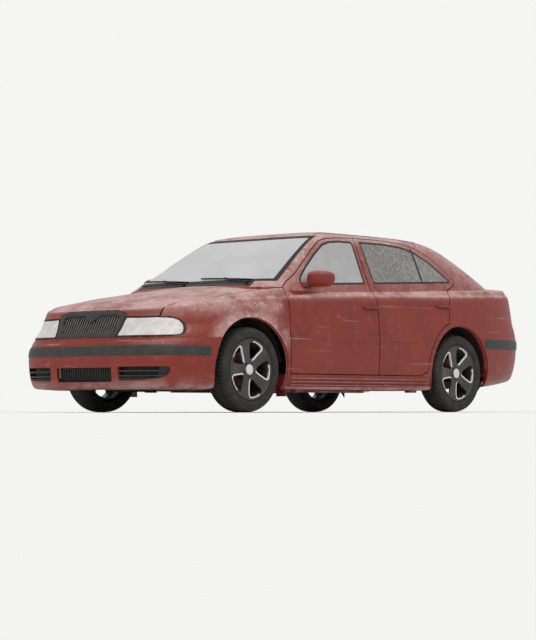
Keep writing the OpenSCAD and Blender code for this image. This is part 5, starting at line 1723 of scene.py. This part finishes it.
@dataclass
class Underside:
    """Ribs and lines under the floor, and the engine's outer fittings."""

    def build(self) -> None:
        """Make what shows from below and with the bonnet up."""
        x = np.linspace(-440, 900, 40)
        ribs = tubes(np.stack([run(x, y, 174) for y in (-620, -540, -230, 230, 540, 620)]), 17, 5,
                     sides=10, power=3)
        piece("floor_ribs", ribs, UNDERSEAL)
        x = np.linspace(1000, -600, 60)
        pipes = [run(x, y + 5 * np.sin(x / 130), 165) for y in (318, 330, 342)]
        piece("brake_and_fuel_lines", tubes(np.array(pipes), 2.8, 2.8, sides=8), EXHAUST)
        self.engine()

    def engine(self) -> None:
        """Ribbed cam cover, air box with its trunk, battery with posts, bottle and a hose."""
        along = np.linspace(1440, 1680, 8)
        ribs = tubes(np.stack([run(along, k, 792) for k in np.linspace(-210, 210, 15)]), 5, 4, sides=8)
        cover = blob((1560, 0, 772), (150, 250, 22), 6, 0, 24, 96)
        piece("cam_cover", joined([cover, ribs]), ALUMINIUM)
        battery = blob((1720, 330, 700), (85, 70, 62), 9, 0, 26, 64)
        posts = tubes(np.array([[[1720 + k, 330, 760], [1720 + k, 330, 776]] for k in (-50, 50)]), 9, 9,
                      up=(1, 0, 0), sides=16)
        piece("battery", battery, BLACK_PLASTIC_AND_SHADE)
        piece("battery_posts", posts, BRIGHT)
        box = blob((1390, -330, 742), (110, 88, 52), 7, 0, 26, 64)
        t = np.linspace(0, 1, 40)
        trunk = run(1480 + 90 * t, -300 + 170 * t, 752 + 18 * np.sin(t * math.pi))
        hose = tubes(trunk, 30, 30, sides=20)
        piece("air_box_and_trunk", joined([box, hose]), PLASTIC, slot=Slot.PLASTIC)
        bottle = blob((1840, -330, 700), (52, 62, 66), 5, 0, 26, 48)
        piece("washer_bottle", bottle, PLATE)
        path = run(1770 + 215 * t, 120 + 60 * t, 742 - 92 * t ** 2)
        piece("radiator_hose", tubes(path, 19, 19, sides=18), SEAL)


DRESS: tuple[tuple[Finish, tuple[str, ...]], ...] = (
    (PAINT, ("sills", "body_sides", "b_pillars", "roof_panel", "front_fenders", "front_bumper",
             "rear_bumper", "bonnet", "tailgate", "front_door_left", "front_door_right",
             "rear_door_left", "rear_door_right", "fuel_flap")),
    (UNDERSEAL, ("floor_pan", "undertray", "firewall")),
    (LINER, ("inner_wings",)),
    (GLASS, ("windscreen", "rear_screen")),
    (PLASTIC, ("cowl",)),
    (CHASSIS, ("radiator", "subframe", "rear_axle", "rear_springs")),
    (IRON, ("knuckle_left", "knuckle_right")),
    (ALUMINIUM, ("engine_block",)),
    (EXHAUST, ("exhaust",)),
    (BLACK_PLASTIC_AND_SHADE, ("fuel_tank",)),
    (FLAP, ("mudflaps",)),
    (CABIN_PLASTIC, ("dashboard", "steering_column", "steering_wheel")))


def dress_frame(nodes: dict[str, bpy.types.Object]) -> None:
    """Give every frame node that stays in sight its finish.

    Args:
        nodes: The frame's objects by name.
    """
    for finish, names in DRESS:
        for slots in (nodes[name].data.materials for name in names):
            for k in range(len(slots)):
                slots[k] = finish.material()
            if not len(slots):
                slots.append(finish.material())


@dataclass
class Studio:
    """Pale floor and background, soft light, and a camera near the floor."""

    azimuth: float = 41.4
    distance: float = 18.4
    focal_px: float = 2292
    pale: str = "#f5f5f4"
    floor_half: float = 150       # metres
    picture_height: float = 640   # long side of the picture, which the lens spans

    def build(self) -> None:
        """Make the floor, the world, the lamps and the camera."""
        scene = bpy.context.scene
        scene.view_settings.view_transform = "Standard"
        self.floor(scene)
        self.world(scene)
        self.lamps(scene)
        self.camera(scene)

    def floor(self, scene: bpy.types.Scene) -> None:
        """A wide floor sheet at height zero."""
        mesh = bpy.data.meshes.new("floor")
        corners = self.floor_half * np.array([(-1, -1, 0), (1, -1, 0), (1, 1, 0), (-1, 1, 0)])
        mesh.from_pydata(corners.tolist(), [], [(0, 1, 2, 3)])
        sheet = bpy.data.objects.new("floor", mesh)
        scene.collection.objects.link(sheet)
        # matt paper: takes the shade of the object and nothing else
        paper = bpy.data.materials.new("matt_paper_floor")
        paper.use_nodes = True
        tree = paper.node_tree
        tree.nodes.clear()
        shader = add(tree, "ShaderNodeBsdfDiffuse", {"Color": linear("#f4f4f3")})
        # its underside lets a look from below through
        under = add(tree, "ShaderNodeNewGeometry").outputs["Backfacing"]
        clear = add(tree, "ShaderNodeBsdfTransparent")
        mixed = add(tree, "ShaderNodeMixShader", {0: under, 1: shader.outputs[0], 2: clear.outputs[0]})
        add(tree, "ShaderNodeOutputMaterial", {"Surface": mixed.outputs[0]})
        mesh.materials.append(paper)

    def world(self, scene: bpy.types.Scene) -> None:
        """Even light for surfaces, and a pale colour where the camera or clear glass sees past them."""
        world = bpy.data.worlds.new("studio")
        world.use_nodes = True
        scene.world = world
        tree = world.node_tree
        tree.nodes.clear()
        rays = add(tree, "ShaderNodeLightPath")
        seen = add(tree, "ShaderNodeMath", {0: rays.outputs["Is Camera Ray"],
                   1: rays.outputs["Is Transmission Ray"]}, operation="MAXIMUM")
        light = add(tree, "ShaderNodeBackground", {"Color": (1, 1, 1, 1), "Strength": 0.72})
        back = add(tree, "ShaderNodeBackground", {"Color": linear(self.pale), "Strength": 1.0})
        mixed = add(tree, "ShaderNodeMixShader", {0: seen.outputs[0], 1: light.outputs[0],
                    2: back.outputs[0]})
        add(tree, "ShaderNodeOutputWorld", {"Surface": mixed.outputs[0]})

    def lamps(self, scene: bpy.types.Scene) -> None:
        """Two broad suns: one high over the car's left side, one from the nose."""
        for name, azimuth, height, strength, spread in (("key", 75, 58, 0.75, 50),
                                                        ("fill", 10, 40, 0.35, 70)):
            lamp = bpy.data.lights.new(name, "SUN")
            lamp.energy, lamp.angle = strength, math.radians(spread)
            made = bpy.data.objects.new(name, lamp)
            a, e = math.radians(azimuth), math.radians(height)
            made.rotation_euler = Vector((math.cos(a) * math.cos(e), math.sin(a) * math.cos(e),
                                          math.sin(e))).to_track_quat("Z", "Y").to_euler()
            scene.collection.objects.link(made)

    def camera(self, scene: bpy.types.Scene) -> None:
        """Long lens just above the floor, looking up a little at the car's left front."""
        data = bpy.data.cameras.new("camera")
        data.lens = self.focal_px / self.picture_height * data.sensor_width
        data.clip_end = 400
        made = bpy.data.objects.new("camera", data)
        a = math.radians(self.azimuth)
        eye = Vector((self.distance * math.cos(a), self.distance * math.sin(a), 0.03))
        ahead = (Vector((0, 0, 0.7)) - eye).normalized()
        right = ahead.cross(Vector((0, 0, 1))).normalized()
        up = right.cross(ahead)
        aim = ahead - right * (20 / self.focal_px) + up * (5 / self.focal_px)
        made.location = eye
        made.rotation_euler = aim.to_track_quat("-Z", "Y").to_euler()
        scene.collection.objects.link(made)
        scene.camera = made


def main() -> None:
    """Load the frame, build every sub-assembly in order and note the sizes."""
    logging.basicConfig(level=logging.INFO, format="%(name)s %(message)s")
    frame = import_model()
    Studio().build()
    dress_frame(frame["nodes"])
    PaintedBody().build()
    Closures().build()
    LampsAndGrille().build()
    for end, x, y in (("front", FRONT_AXLE, 745), ("rear", REAR_AXLE, 740)):
        for name, side in (("left", 1), ("right", -1)):
            Wheel(f"{end}_{name}", (x, side * y, HUB_HEIGHT), side).build()
    Cabin().build()
    Underside().build()


if __name__ == "__main__":
    main()
